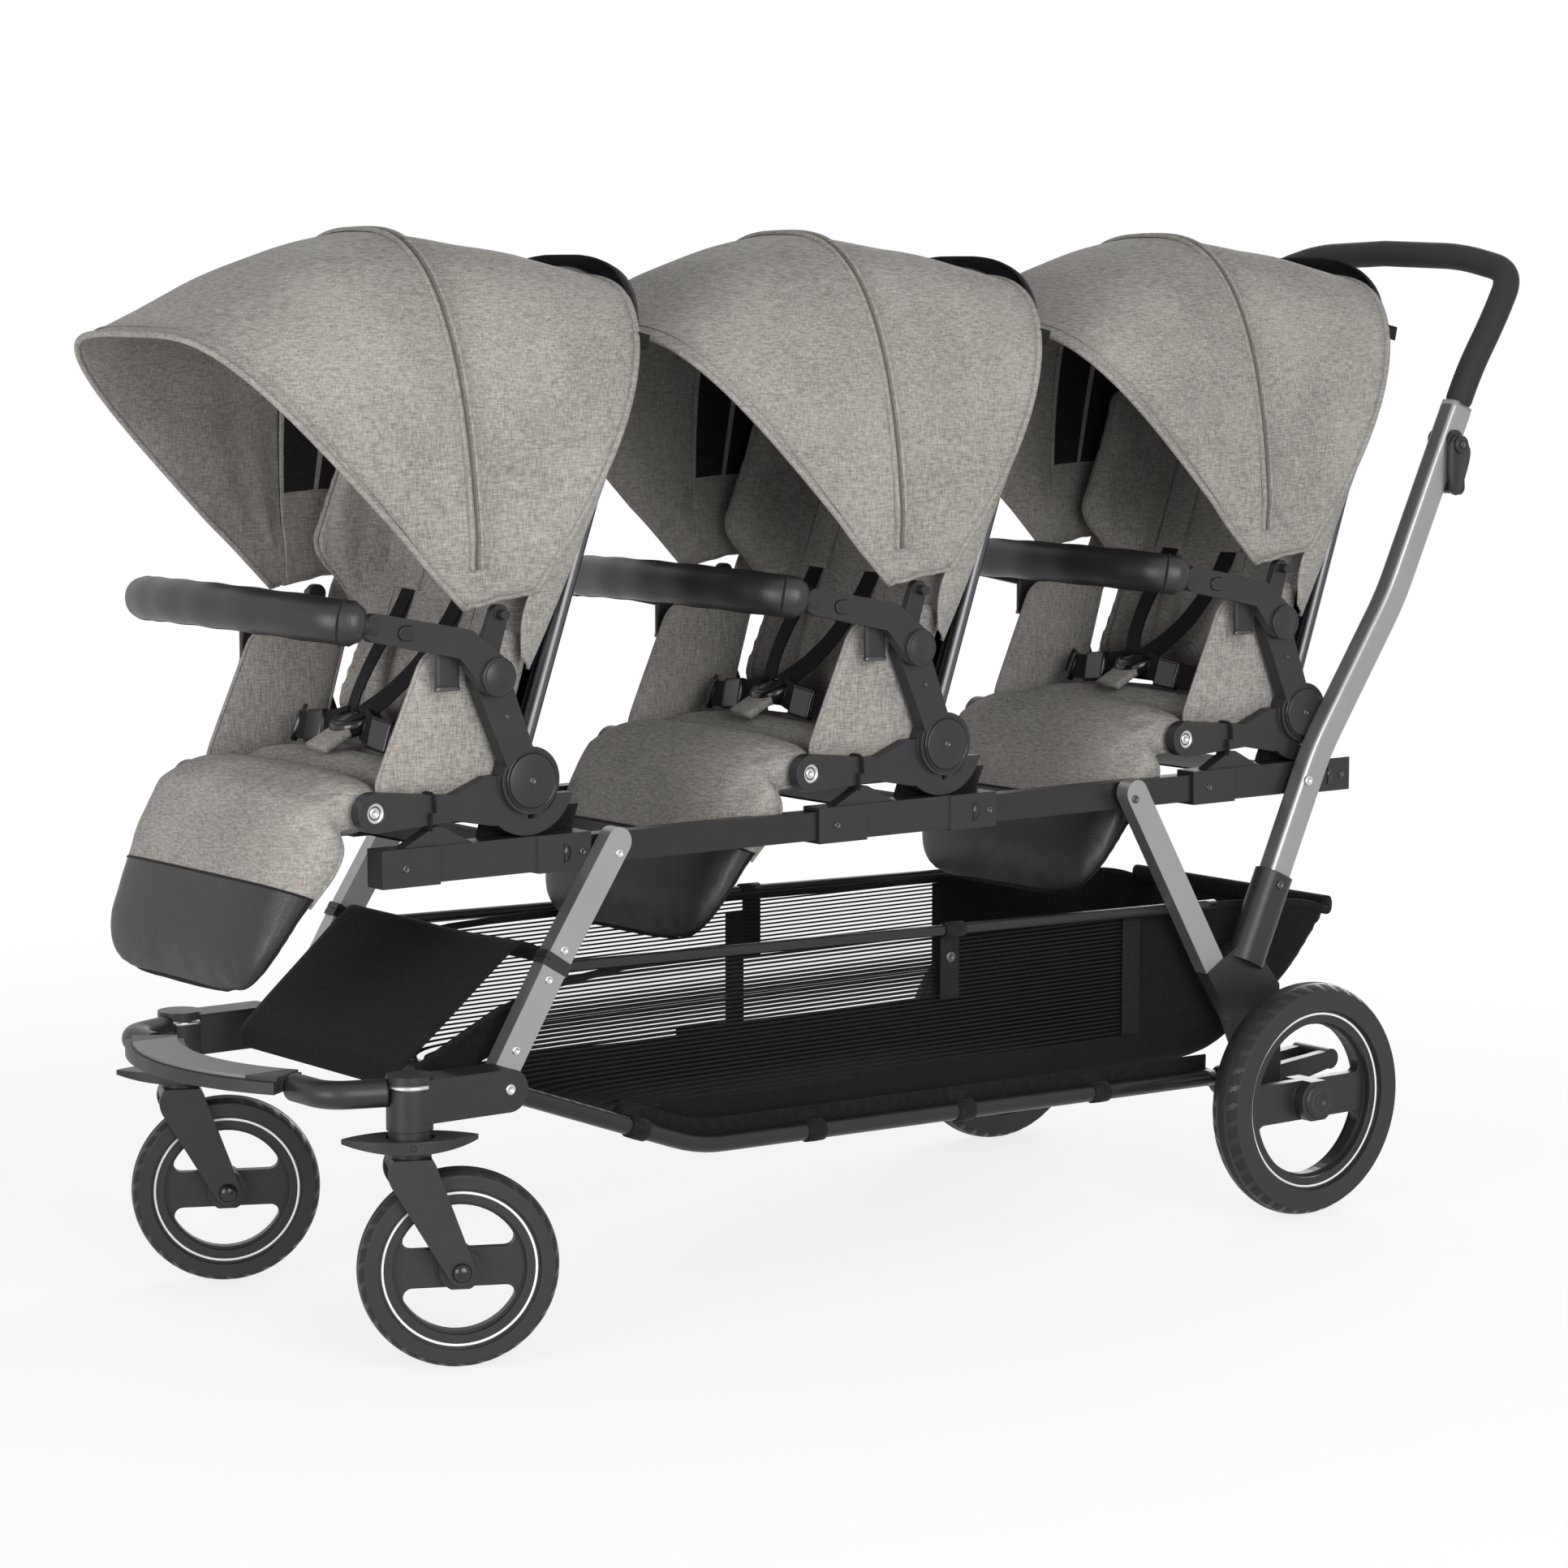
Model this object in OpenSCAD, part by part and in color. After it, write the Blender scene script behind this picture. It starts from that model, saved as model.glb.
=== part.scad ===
// Triple in-line stroller: one folding chassis that carries three lift-off seats in a row.
// Millimetres. +X is forward, +Y is the stroller's left, +Z is up, the ground is Z = 0.
// Seat pieces are drawn in the frame of their own hub; chassis heights are above the ground.

/* [Seats] */
// Distance from one seat hub to the next
seat_pitch = 537; // [530:1:560]
// Height of the seat hubs above the ground
hub_z = 563; // [555:1:600]
// Inner face of the seat side beams
beam_in_y = 168; // [166:0.5:169]
// Thickness of the seat side beams
beam_t = 14; // [11:0.5:15]
// Radius of the round hub housing
hub_r = 34; // [30:0.5:36]
// Radius of the hub cap disc
hub_cap_r = 28; // [20:0.5:29]
// How far the hub housing stands out from the beam
hub_out = 6; // [3:0.5:6]
// Radius of the crescent cradle under the hub
cradle_r = 56; // [55:0.5:56]
// Radial depth of the crescent cradle
cradle_t = 17; // [12:0.5:18]
// Radius of the front pivot boss of the seat beam
boss_r = 20; // [16:0.5:21]
// Forward place of the leg rest pivot, from the hub
pivot_x = 178; // [176:0.5:180]
// Height of the leg rest pivot, from the hub
pivot_z = -20; // [-21:0.5:-19]
// Radius of the two seat cross tubes
cross_r = 8; // [6:0.5:8.5]
// Forward place of the bar joint, from the hub
joint_x = 48; // [46:0.5:50]
// Height of the bar joint, from the hub
joint_z = 107; // [104:0.5:110]
// Radius of the bar joint disc
joint_r = 20; // [18:0.5:21]
// Half width of the seat arm at the hub
arm_r = 17; // [14:0.5:19]
// Inner face of the seat arm
arm_in_y = 173; // [172.5:0.5:175]
// Thickness of the seat arm
arm_t = 16.5; // [13:0.5:16.5]
// Radius of the joint pin that carries the bumper bar
joint_pin_r = 8; // [5:0.5:9]
// Half width of the canopy stalk
stalk_r = 12; // [10:0.5:13]
// Thickness of the canopy stalk
stalk_t = 9; // [6:0.5:9]
// Forward place of the canopy pin, from the hub
canopy_pin_x = 28; // [26:0.5:30]
// Height of the canopy pin, from the hub
canopy_pin_z = 166; // [162:0.5:168]
// Radius of the canopy pin
canopy_pin_r = 5; // [3:0.5:5.5]

/* [Backrest] */
// Lean of the backrest from upright, in degrees
back_lean = 19; // [18:0.5:19.5]
// Radius of the backrest tube
back_tube_r = 8; // [6:0.5:8.5]
// Half width between the backrest tubes, centre to centre
back_half_w = 158; // [154:0.5:159]
// Straight length of the backrest tubes, from the hub to the domed top
back_straight = 372; // [365:1:376]
// Radius of the backrest pivot stub in the hub
stub_r = 9; // [6:0.5:10]
// How far the pivot stub reaches into the hub
stub_len = 12; // [8:0.5:14]
// Thickness of the back pad at its middle
back_pad_t = 28; // [20:1:34]
// Half width of the back pad
back_pad_half_w = 150; // [145:0.5:151]
// Thickness of the head wings
wing_t = 24; // [18:1:28]
// How far the head wings stand forward of the back
wing_reach = 104; // [80:1:106]
// Height on the back where the wings start to grow
wing_low = 120; // [110:1:130]
// Height on the back where the wings are full
wing_mid = 200; // [190:1:210]
// Height on the back where the wings start to fade
wing_high = 330; // [320:1:340]

/* [Soft seat] */
// Half width of the seat cushion
cushion_half_w = 154; // [146:0.5:156]
// Rear end of the seat cushion, from the hub
cushion_rear_x = 26; // [24:0.5:34]
// Front end of the seat cushion, from the hub
cushion_front_x = 139; // [130:0.5:139.5]
// Underside of the seat cushion, from the hub
cushion_low_z = -12; // [-12.5:0.5:-10]
// Thickness of the seat cushion at its edge
cushion_edge_t = 24; // [18:1:26]
// Extra height of the cushion crown
cushion_crown = 8; // [4:1:9]
// Thickness of the fabric side guards
guard_t = 8; // [6:0.5:9]
// Radius of the knee roll of the leg rest
knee_r = 36; // [33:0.5:36.5]
// Half width of the knee roll
knee_half_w = 164; // [156:0.5:166]
// Half width of the leg rest in front of the side beams
shin_half_w = 178; // [166:0.5:182]
// Half width of the leg rest between the rails
foot_half_w = 161.5; // [150:0.5:162]
// Width of the harness webbing
strap_w = 25; // [20:1:30]
// Thickness of the harness webbing
strap_t = 2.5; // [2:0.5:4]
// Radius of the round harness buckle
buckle_r = 21; // [16:1:24]
// Thickness of the harness buckle
buckle_t = 14; // [10:1:16]

/* [Canopy] */
// Half width of the canopy
canopy_half_w = 187; // [186:0.5:188]
// Thickness of the canopy cloth with its binding
canopy_t = 3.5; // [3:0.5:4]
// Gap between the two canopy panels where they overlap
canopy_gap = 3.5; // [3.5:0.1:4]
// Forward place of the visor edge, from the hub
visor_x = 340; // [330:1:342]
// Height of the visor edge, from the hub
visor_z = 442; // [436:1:448]
// Forward place of the visor edge at the hem, from the hub
visor_hem_x = 74; // [70:1:78]
// Forward place of the zip hoop top, from the hub
hoop_x = 76; // [72:1:80]
// Height of the zip hoop top, from the hub
hoop_z = 543; // [538:1:550]
// Forward place of the zip hoop at the hem, from the hub
hoop_hem_x = 58; // [54:1:60]
// Place of the canopy rear edge top, from the hub
rear_edge_x = -160; // [-162:1:-154]
// Height of the canopy rear edge top, from the hub
rear_edge_z = 497; // [492:1:500]
// Place of the canopy rear edge at the hem, from the hub
rear_hem_x = -26; // [-30:1:-20]
// Height of the canopy hem, from the hub
hem_z = 177; // [177:0.5:182]
// How far the front panel arches over the chord between its hoops
front_bulge = 10; // [10:0.5:12]

/* [Bumper bar] */
// Thickness of the bumper bar arms
bar_arm_t = 12; // [9:0.5:14]
// Half height of the bumper bar arms
bar_arm_r = 14; // [11:0.5:15]
// Radius of the bar core inside the padding
bar_core_r = 10; // [7:0.5:11]
// Outer radius of the bar padding
bar_pad_r = 22; // [18:0.5:23]
// Forward end of the arms, where the padding starts, from the hub
bar_front_x = 205; // [200:1:210]
// Height of the bar at the end of the arms, from the hub
bar_front_z = 165; // [160:1:170]
// Size of the D-shaped release buttons
button_r = 7; // [5:0.5:8]
// How far a release button stands out
button_out = 1.5; // [1:0.5:2]
// Travel of a release button
button_travel = 3; // [2:0.5:4]

/* [Rails] */
// Outer face of the seat rails
rail_out_y = 184; // [183:0.5:184.5]
// Width of the seat rails
rail_w = 20; // [16:0.5:21]
// Height of the seat rails
rail_h = 30; // [26:0.5:32]
// Wall of the seat rails
rail_wall = 2; // [1.5:0.5:3]
// Gap between the seat and the adapter that carries it
seat_gap = 0.5; // [0.3:0.1:1]
// Wall of the seat adapters around the rail
adapter_wall = 4; // [3:0.5:4]
// Front end of an adapter, from the hub
adapter_front_x = 172; // [168:1:176]
// Rear end of an adapter, from the hub
adapter_rear_x = -72; // [-74:1:-60]
// Length of the thick clamp at each end of an adapter
clamp_len = 64; // [50:1:70]

/* [Legs] */
// Inner face of the legs, struts and handle sides
leg_in_y = 188.5; // [188.4:0.1:190]
// Thickness of the legs and struts
leg_t = 18; // [14:0.5:18.5]
// Width of the legs and struts
leg_w = 30; // [24:0.5:32]
// Length of the black knuckle in the front legs
knuckle_len = 14; // [10:0.5:18]
// Radius of the pivot bosses between legs and rails
leg_boss_r = 9; // [6:0.5:10]

/* [Handle] */
// Half width between the handle sides, centre to centre
handle_half_w = 203; // [202.5:0.5:206]
// Half depth of the oval handle tube, seen from the side
handle_a = 19; // [16:0.5:20]
// Half thickness of the oval handle tube, across the stroller
handle_b = 13; // [10:0.5:13.5]
// Outer radius of the foam grip
grip_r = 15.5; // [14:0.5:17]
// Radius of the handle tube inside the foam grip
grip_core_r = 10; // [8:0.5:11]
// Height of the grip bar centre above the ground
grip_z = 1088; // [1080:1:1100]
// Rearmost place of the grip centre line, from the middle hub
grip_x = -861.5; // [-870:0.5:-858]
// Thickness of the release lever cheeks
lever_t = 3; // [2:0.5:4]

/* [Wheels] */
// Radius of the rear wheels
rear_r = 133; // [125:0.5:140]
// Radius of the rear rims
rear_rim_r = 99; // [92:0.5:104]
// Radius of the rear hubs
rear_hub_r = 25; // [22:0.5:28]
// Rise of the rounded rear tread
rear_tread = 7; // [5:0.5:9]
// Width of the rear tyres
rear_w = 40; // [34:1:44]
// Middle plane of the rear wheels
rear_y = 269; // [266:0.5:275]
// Rear axle place, from the middle hub
rear_axle_x = -468; // [-472:1:-464]
// Radius of the front wheels
front_r = 99.5; // [95:0.5:102]
// Radius of the front rims
front_rim_r = 76; // [70:0.5:80]
// Radius of the front hubs
front_hub_r = 21; // [18:0.5:24]
// Rise of the rounded front tread
front_tread = 6; // [4:0.5:8]
// Width of the front tyres
front_w = 34; // [28:1:36]
// Side place of the caster stems
stem_y = 224; // [222:0.5:228]
// Forward place of the caster stems, from the middle hub
stem_x = 707; // [704:1:712]
// Trail of the caster wheels behind their stems
caster_trail = 46; // [40:0.5:50]
// Angle that the casters are turned to at rest, in degrees
caster_turn = -26; // [-40:1:40]
// Radius of the axles
axle_r = 6; // [5:0.5:8]
// Running clearance of pins and axles in their bores
run_gap = 0.06; // [0.02:0.01:0.09]
// Radius of the caster stem
stem_r = 9; // [7:0.5:11]
// Radius of the fork neck below the stem
neck_r = 21; // [18:0.5:22]
// Radius of the stem housing
housing_r = 23; // [18:0.5:23]
// Length of the swivel lock lever
lock_len = 134; // [110:1:140]
// Width of the swivel lock lever
lock_w = 60; // [56:1:64]
// Thickness of the swivel lock lever
lock_t = 13; // [10:0.5:14]

/* [Basket and footboard] */
// Half width of the basket
basket_half_w = 166; // [160:0.5:166]
// Wall of the basket cloth
basket_wall = 3; // [2:0.5:4]
// Radius of the upper basket rails
upper_rail_r = 6; // [4:0.5:6]
// Side place of the upper basket rails
upper_rail_y = 182; // [180:0.5:182]
// Radius of the lower basket rails
lower_rail_r = 9.5; // [7:0.5:9.5]
// Side place of the lower basket rails
lower_rail_y = 176; // [175.5:0.5:178]
// Radius of the front crossbar tube
crossbar_r = 14; // [12:0.5:15]
// Height of the front crossbar above the ground
crossbar_z = 275; // [270:1:278]
// Width of the footboard tread
tread_w = 60; // [50:1:66]
// Thickness of the footboard tread
tread_t = 16; // [12:0.5:20]
// Width of the low lip along each edge of the footboard tread
tread_lip = 7; // [4:0.5:10]
// Height of the footboard pad above its lips
tread_rise = 4; // [2:0.5:6]
// Radius of the footboard's middle line
tread_radius = 248; // [240:1:260]

/* [Hidden] */
$fn = 48;

black = [0.13, 0.13, 0.135];
dark = [0.09, 0.09, 0.095];
taupe = [0.58, 0.55, 0.51];
silver = [0.55, 0.55, 0.56];
SEATS = ["front", "middle", "rear"];

// The origin lies below the middle of the overall length
front_reach = seat_pitch + visor_x;
rear_reach = grip_x - grip_r;
shift_x = -(front_reach + rear_reach) / 2;

// Derived seat values
beam_out_y = beam_in_y + beam_t;
hub_out_y = beam_out_y + hub_out;
arm_out_y = arm_in_y + arm_t;
bar_in_y = arm_out_y + 0.5;
bar_out_y = bar_in_y + bar_arm_t;
bar_mid_y = (bar_in_y + bar_out_y) / 2;
joint = [joint_x, joint_z];
canopy_pin = [canopy_pin_x, canopy_pin_z];
stalk_foot = joint + [-2, 6];
pivot = [pivot_x, pivot_z];
rail_z = hub_z - cradle_r - seat_gap - adapter_wall - rail_h / 2;
adapter_top = -cradle_r - seat_gap;
adapter_len = adapter_front_x - adapter_rear_x;
wedge_x = (adapter_front_x + adapter_rear_x) / 2 + 58;
wedge_half = 40;
wedge_top = -38;
guard_gap = 0.8;
tangent_inset = 0.998;
knee_gap = 1.6;
hub_cap_t = 1.5;
stalk_out_y = canopy_half_w - 2 * canopy_t - canopy_gap - seat_gap;

// Helpers
function flat(lists) = [for (a = lists) for (b = a) b];
function unit(v) = v / norm(v);
function mix(a, b, t) = a + (b - a) * t;
function ramp(x, lo, hi) = let (t = max(0, min(1, (x - lo) / (hi - lo)))) t * t * (3 - 2 * t);
function dir(a) = [cos(a), sin(a)];
function bezier(a, b, c, t) = mix(mix(a, b, t), mix(b, c, t), t);
// A polyline with each inner corner rounded over the length l on both sides
function rounded(pts, l, n) = concat([pts[0]],
  flat([for (i = [1 : len(pts) - 2])
    let (a = pts[i] + unit(pts[i - 1] - pts[i]) * l, c = pts[i] + unit(pts[i + 1] - pts[i]) * l)
    [for (k = [0 : n]) bezier(a, pts[i], c, k / n)]]),
  [pts[len(pts) - 1]]);
// A path and its mirror image, joined at the last point
function mirrored(pts) = concat(pts, [for (i = [len(pts) - 2 : -1 : 0]) [pts[i].x, -pts[i].y, pts[i].z]]);
function tangent(path, i) = unit(path[min(i + 1, len(path) - 1)] - path[max(i - 1, 0)]);
// A ring of n points around a path point: a along the side normal, b along the reference
function ring(path, i, ref, a, b, n) =
  let (t = tangent(path, i), s = unit(cross(ref, t)), r = cross(t, s))
  [for (k = [0 : n - 1]) path[i] + s * a * cos(360 * k / n) + r * b * sin(360 * k / n)];
function grid_faces(n, m, base, flip) = [for (i = [0 : m - 2]) for (j = [0 : n - 1])
  let (k = (j + 1) % n, a = base + i * n + j, b = base + i * n + k, c = a + n, d = b + n)
  each flip ? [[a, b, d], [a, d, c]] : [[a, d, b], [a, c, d]]];

function middle(pts) = [for (k = [0 : 2]) let (v = [for (p = pts) p[k]]) (min(v) + max(v)) / 2];

// A closed solid through rings of equal count, with fans from the middle of each end
module skin(rings) {
  n = len(rings[0]);
  m = len(rings);
  q = n * m;
  e = q - n;
  caps = [for (j = [0 : n - 1]) let (k = (j + 1) % n) each [[q, j, k], [q + 1, e + k, e + j]]];
  ends = [middle(rings[0]), middle(rings[m - 1])];
  polyhedron(concat(flat(rings), ends), concat(grid_faces(n, m, 0, false), caps));
}
// A swept solid tube of oval section
module sweep(path, ref, a, b, n = 14) skin([for (i = [0 : len(path) - 1]) ring(path, i, ref, a, b, n)]);
// A swept sleeve with a bore that follows the same path
module sleeve(path, ref, r_out, r_in, n = 16) {
  m = len(path);
  outer = flat([for (i = [0 : m - 1]) ring(path, i, ref, r_out, r_out, n)]);
  inner = flat([for (i = [0 : m - 1]) ring(path, i, ref, r_in, r_in, n)]);
  q = m * n;
  ends = [for (j = [0 : n - 1]) let (k = (j + 1) % n, e = (m - 1) * n)
    each [[j, k, q + k], [j, q + k, q + j], [e + j, q + e + k, e + k], [e + j, q + e + j, q + e + k]]];
  polyhedron(concat(outer, inner), concat(grid_faces(n, m, 0, false), grid_faces(n, m, q, true), ends));
}
// A thin shell between an outer and an inner grid of points
module shell(outer, inner) {
  m = len(outer);
  n = len(outer[0]);
  q = m * n;
  skins = [for (i = [0 : m - 2]) for (j = [0 : n - 2]) let (a = i * n + j, b = a + 1, c = a + n, d = c + 1)
    each [[a, b, d], [a, d, c], [q + a, q + d, q + b], [q + a, q + c, q + d]]];
  rows = [for (j = [0 : n - 2]) let (a = j, b = j + 1, c = (m - 1) * n + j, d = c + 1)
    each [[a, q + b, b], [a, q + a, q + b], [c, d, q + d], [c, q + d, q + c]]];
  cols = [for (i = [0 : m - 2]) let (a = i * n, c = a + n, b = a + n - 1, d = b + n)
    each [[a, c, q + c], [a, q + c, q + a], [b, q + d, d], [b, q + b, q + d]]];
  polyhedron(concat(flat(outer), flat(inner)), concat(skins, rows, cols));
}
// Two round ends of given radii joined by their tangents, whose corners lie just inside the rounds
module link(p, q, rp, rq) {
  d = q - p;
  a = atan2(d.y, d.x);
  k = acos((rp - rq) / norm(d));
  translate(p) circle(rp);
  translate(q) circle(rq);
  sp = rp * tangent_inset;
  sq = rq * tangent_inset;
  polygon([p + sp * dir(a + k), p + sp * dir(a - k), q + sq * dir(a - k), q + sq * dir(a + k)]);
}
// A straight strip with square ends
module strip(p, q, w) {
  n = unit([p.y - q.y, q.x - p.x]) * w / 2;
  polygon([p + n, p - n, q - n, q + n]);
}
// A side-view outline made solid between two side planes
module side(y0, y1) translate([0, y1, 0]) rotate([90, 0, 0]) linear_extrude(y1 - y0) children();
module pin(p, y0, y1, r) translate([p.x, y0, p.y]) rotate([-90, 0, 0]) cylinder(h = y1 - y0, r = r);
module pair() {
  children();
  mirror([0, 1, 0]) children();
}
module at_seat(i) translate([shift_x + seat_pitch * (1 - i), 0, hub_z]) children();
module chassis() translate([shift_x, 0, 0]) children();
module left_or_right(is_left) mirror([0, is_left ? 0 : 1, 0]) children();

// Seat frame: beams, hubs, cradles, arms and canopy stalks on both sides, two cross tubes
module beam_outline() {
  link(pivot, [90, -22], boss_r, 13);
  polygon([[90, -10], [50, 6], [0, 10], [0, -42], [42, -43], [90, -34]]);
  circle(hub_r);
  intersection() {
    difference() {
      circle(cradle_r);
      circle(cradle_r - cradle_t);
    }
    translate([-2 * cradle_r, -2 * cradle_r]) square([4 * cradle_r, 2 * cradle_r - 16]);
  }
}
module seat_side() {
  difference() {
    union() {
      side(beam_in_y, beam_out_y) beam_outline();
      pin([0, 0], beam_out_y, hub_out_y, hub_r);
      pin([0, 0], hub_out_y, hub_out_y + hub_cap_t, hub_cap_r);
      side(arm_in_y, arm_out_y) link([4, 0], joint, arm_r, joint_r);
      side(stalk_out_y - stalk_t, stalk_out_y) link(stalk_foot, canopy_pin, stalk_r, stalk_r - 2);
      pin(stalk_foot, min(stalk_out_y - stalk_t, arm_in_y) + 1, max(stalk_out_y - 1, arm_in_y + 1),
        stalk_r - 1);
    }
    pin([0, 0], beam_in_y - 1, beam_in_y + stub_len + 0.5, stub_r + run_gap);
    pin(pivot, beam_out_y - 4, beam_out_y + 1, boss_r / 2);
  }
  pin(joint, arm_out_y - 1, bar_out_y - 3, joint_pin_r);
  pin(canopy_pin, stalk_out_y - 1, canopy_half_w, canopy_pin_r);
  pin(pivot, knee_half_w + knee_gap, beam_in_y + 1, axle_r);
}
module seat_frame(i) color(black) at_seat(i) {
  pair() seat_side();
  for (p = [[128, -24], [46, -24]]) pin(p, -beam_in_y - 1, beam_in_y + 1, cross_r);
}

// Seat cushion: crowned top with a channel across, sides drawn in, and two fabric side guards
function soft_edge(t) = pow(max(0, 1 - pow(abs(t), 4)), 0.5);
module seat_cushion(i) color(taupe) at_seat(i) {
  steps = 10;
  rings = [for (k = [0 : steps])
    let (u = k / steps, x = mix(cushion_rear_x, cushion_front_x, u), e = soft_edge(2 * u - 1),
      w = cushion_half_w - 6 * (1 - e), t = cushion_edge_t * (0.55 + 0.45 * e),
      c = cushion_crown * e * (1 - 0.6 * exp(-pow((u - 0.5) * 14, 2))))
    [for (a = [[-1, 0], [-0.97, -0.5], [-0.85, -0.95]]) [x, a[0] * w, cushion_low_z + t * (0.5 + a[1] * 0.5)],
     for (a = [-0.85 : 0.425 : 0.86]) [x, a * w, cushion_low_z],
     for (a = [[0.85, -0.95], [0.97, -0.5], [1, 0], [0.97, 0.6], [0.88, 1]])
       [x, a[0] * w, cushion_low_z + t * (0.5 + a[1] * 0.5)],
     for (a = [0.66 : -0.33 : -0.67]) [x, a * w, cushion_low_z + t + c * (1 - a * a)],
     for (a = [[-0.88, 1], [-0.97, 0.6]]) [x, a[0] * w, cushion_low_z + t * (0.5 + a[1] * 0.5)]]];
  skin(rings);
  pair() side(beam_in_y - guard_gap - guard_t, beam_in_y - guard_gap)
    polygon([[40, -8], [138, -8], [158, 14], [150, 44], [118, 112], [96, 124], [62, 120], [46, 60]]);
}

// Backrest frame: two tubes and a half-round top, with pivot stubs in the hubs
module back_frame(i) color(silver) at_seat(i) {
  rotate([0, -back_lean, 0]) {
    pair() translate([0, back_half_w, 0]) cylinder(h = back_straight, r = back_tube_r);
    translate([0, 0, back_straight]) rotate([90, 0, 90])
      rotate_extrude(angle = 180) translate([back_half_w, 0]) circle(back_tube_r);
  }
  pair() pin([0, 0], back_half_w - back_tube_r - 1, beam_in_y - 0.3, 15);
  pair() pin([0, 0], beam_in_y - 1, beam_in_y + stub_len, stub_r);
}

// Back pad: a crowned board of padding with two head wings and a domed top
pad_low = 24;
pad_dome = 330;
pad_dome_r = 150;
pad_high = pad_dome + 0.93 * pad_dome_r;
function wing_at(s) = wing_reach * ramp(s, wing_low, wing_mid) * (1 - ramp(s, wing_high, pad_high - 50));
function dome_w(s) = back_pad_half_w * sqrt(1 - pow(max(0, s - pad_dome) / pad_dome_r, 2));
module back_pad(i) color(taupe) at_seat(i) rotate([0, -back_lean, 0]) {
  low = back_tube_r + 1.5;
  stations = [pad_low, 40, 80, 120, 150, 175, 200, 240, 285, 320, 350, 385, 415, 440, 458, pad_high];
  rings = [for (s = stations)
    let (w = dome_w(s), g = wing_at(s), e = min(1, 0.6 + (s - pad_low) / 40, 0.6 + (pad_high - s) / 40),
      t = back_pad_t * e, c = 6 * e, f = g + t, o = w - min(wing_t, w * 0.4), q = o - w * 0.11,
      half = [[low + 8 * e, w], [low + f * 0.55, w], [low + f - 8 * e, w - 1], [low + f, mix(w, o, 0.5)],
        [low + f - 7 * e, o + 1], [low + mix(t, f, 0.4), o - 2], [low + t + 2 * e, q],
        [low + t + c * 0.6, w * 0.35]])
    [[low, 8 - w, s], for (p = half) [p.x, -p.y, s], [low + t + c, 0, s],
     for (k = [len(half) - 1 : -1 : 0]) [half[k].x, half[k].y, s], [low, w - 8, s], [low, 0, s]]];
  skin(rings);
}

// Canopy: hoops between the hem and the crown, as super-ellipses that lean from visor to rear edge
function hoop_point(hem, top, w, a, n) =
  let (s = pow(abs(sin(a)), 2 / n), y = w * sign(cos(a)) * pow(abs(cos(a)), 2 / n), p = mix(hem, top, s))
  [p.x, y, p.y];
function hoop(hem, top, w, n, grow) =
  let (up = unit(top - hem), t = top + up * grow)
  [for (a = [0 : 9 : 180]) hoop_point(hem, t, w + grow, a, n)];
visor_hem = [visor_hem_x, hem_z - 3];
zip_hem = [hoop_hem_x, hem_z];
rear_hem = [rear_hem_x, hem_z];
visor_top = [visor_x, visor_z];
zip_top = [hoop_x, hoop_z];
rear_top = [rear_edge_x, rear_edge_z];
visor_n = 4.2;
zip_n = 2.8;
rear_n = 3;
function panel(h0, t0, h1, t1, n0, n1, bulge, grow, steps) = [for (k = [0 : steps])
  let (v = k / steps, lift = [0, bulge * 4 * v * (1 - v)])
  hoop(mix(h0, h1, v), mix(t0, t1, v) + lift, canopy_half_w, mix(n0, n1, v), grow)];
function rear_panel(grow) = panel(zip_hem, zip_top, rear_hem, rear_top, zip_n, rear_n, 0, grow, 4);
function front_panel(grow) =
  panel(visor_hem, visor_top, zip_hem, zip_top, visor_n, zip_n, front_bulge, grow, 5);
module canopy_rear(i) color(taupe) at_seat(i)
  shell(rear_panel(-canopy_t - canopy_gap), rear_panel(-2 * canopy_t - canopy_gap));
module canopy_front(i) color(taupe) at_seat(i) difference() {
  union() {
    shell(front_panel(0), front_panel(-canopy_t));
    pair() side(canopy_half_w - canopy_t + 0.5, canopy_half_w - 0.5)
      link(canopy_pin, zip_hem + [5, 6], 2 * canopy_pin_r, canopy_pin_r);
  }
  pin(canopy_pin, -canopy_half_w, canopy_half_w, canopy_pin_r + run_gap);
}

// Bumper bar: two arms on the joint pins and a core tube that bows forward under the padding
bar_bend_r = 30;
bar_bend_a = 75;
bar_cuff_a = 25;
bar_step = 0.5;
bar_main_a = 90 - bar_bend_a;
bar_main_r = bar_bend_r + (bar_mid_y - bar_bend_r) / sin(bar_main_a);
knee = joint + [36, 34];
bar_tilt = atan2(bar_front_z - knee.y, bar_front_x - knee.x);
module bar_bow(r_out, r_in, bend_a) {
  pair() translate([0, bar_mid_y - bar_bend_r, 0]) rotate([0, 0, bar_main_a]) rotate_extrude(angle = bend_a)
    translate([bar_bend_r, 0]) bar_section(r_out - bar_step, r_in > 0 ? r_in + bar_step : 0);
  translate([(bar_bend_r - bar_main_r) * cos(bar_main_a), 0, 0]) rotate([0, 0, -bar_main_a])
    rotate_extrude(angle = 2 * bar_main_a) translate([bar_main_r, 0]) bar_section(r_out, r_in);
}
module bar_section(r_out, r_in) difference() {
  circle(r_out);
  if (r_in > 0) circle(r_in);
}
module at_bar(i) at_seat(i) translate([bar_front_x - 6, 0, bar_front_z]) rotate([0, -bar_tilt, 0]) children();
button_at = [joint_x + 108, mix(knee.y, bar_front_z, 0.6)];
module button_outline(r) {
  circle(r);
  translate([-r * 1.2, -r * tangent_inset]) square([r * 1.2, 2 * r * tangent_inset]);
}
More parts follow.
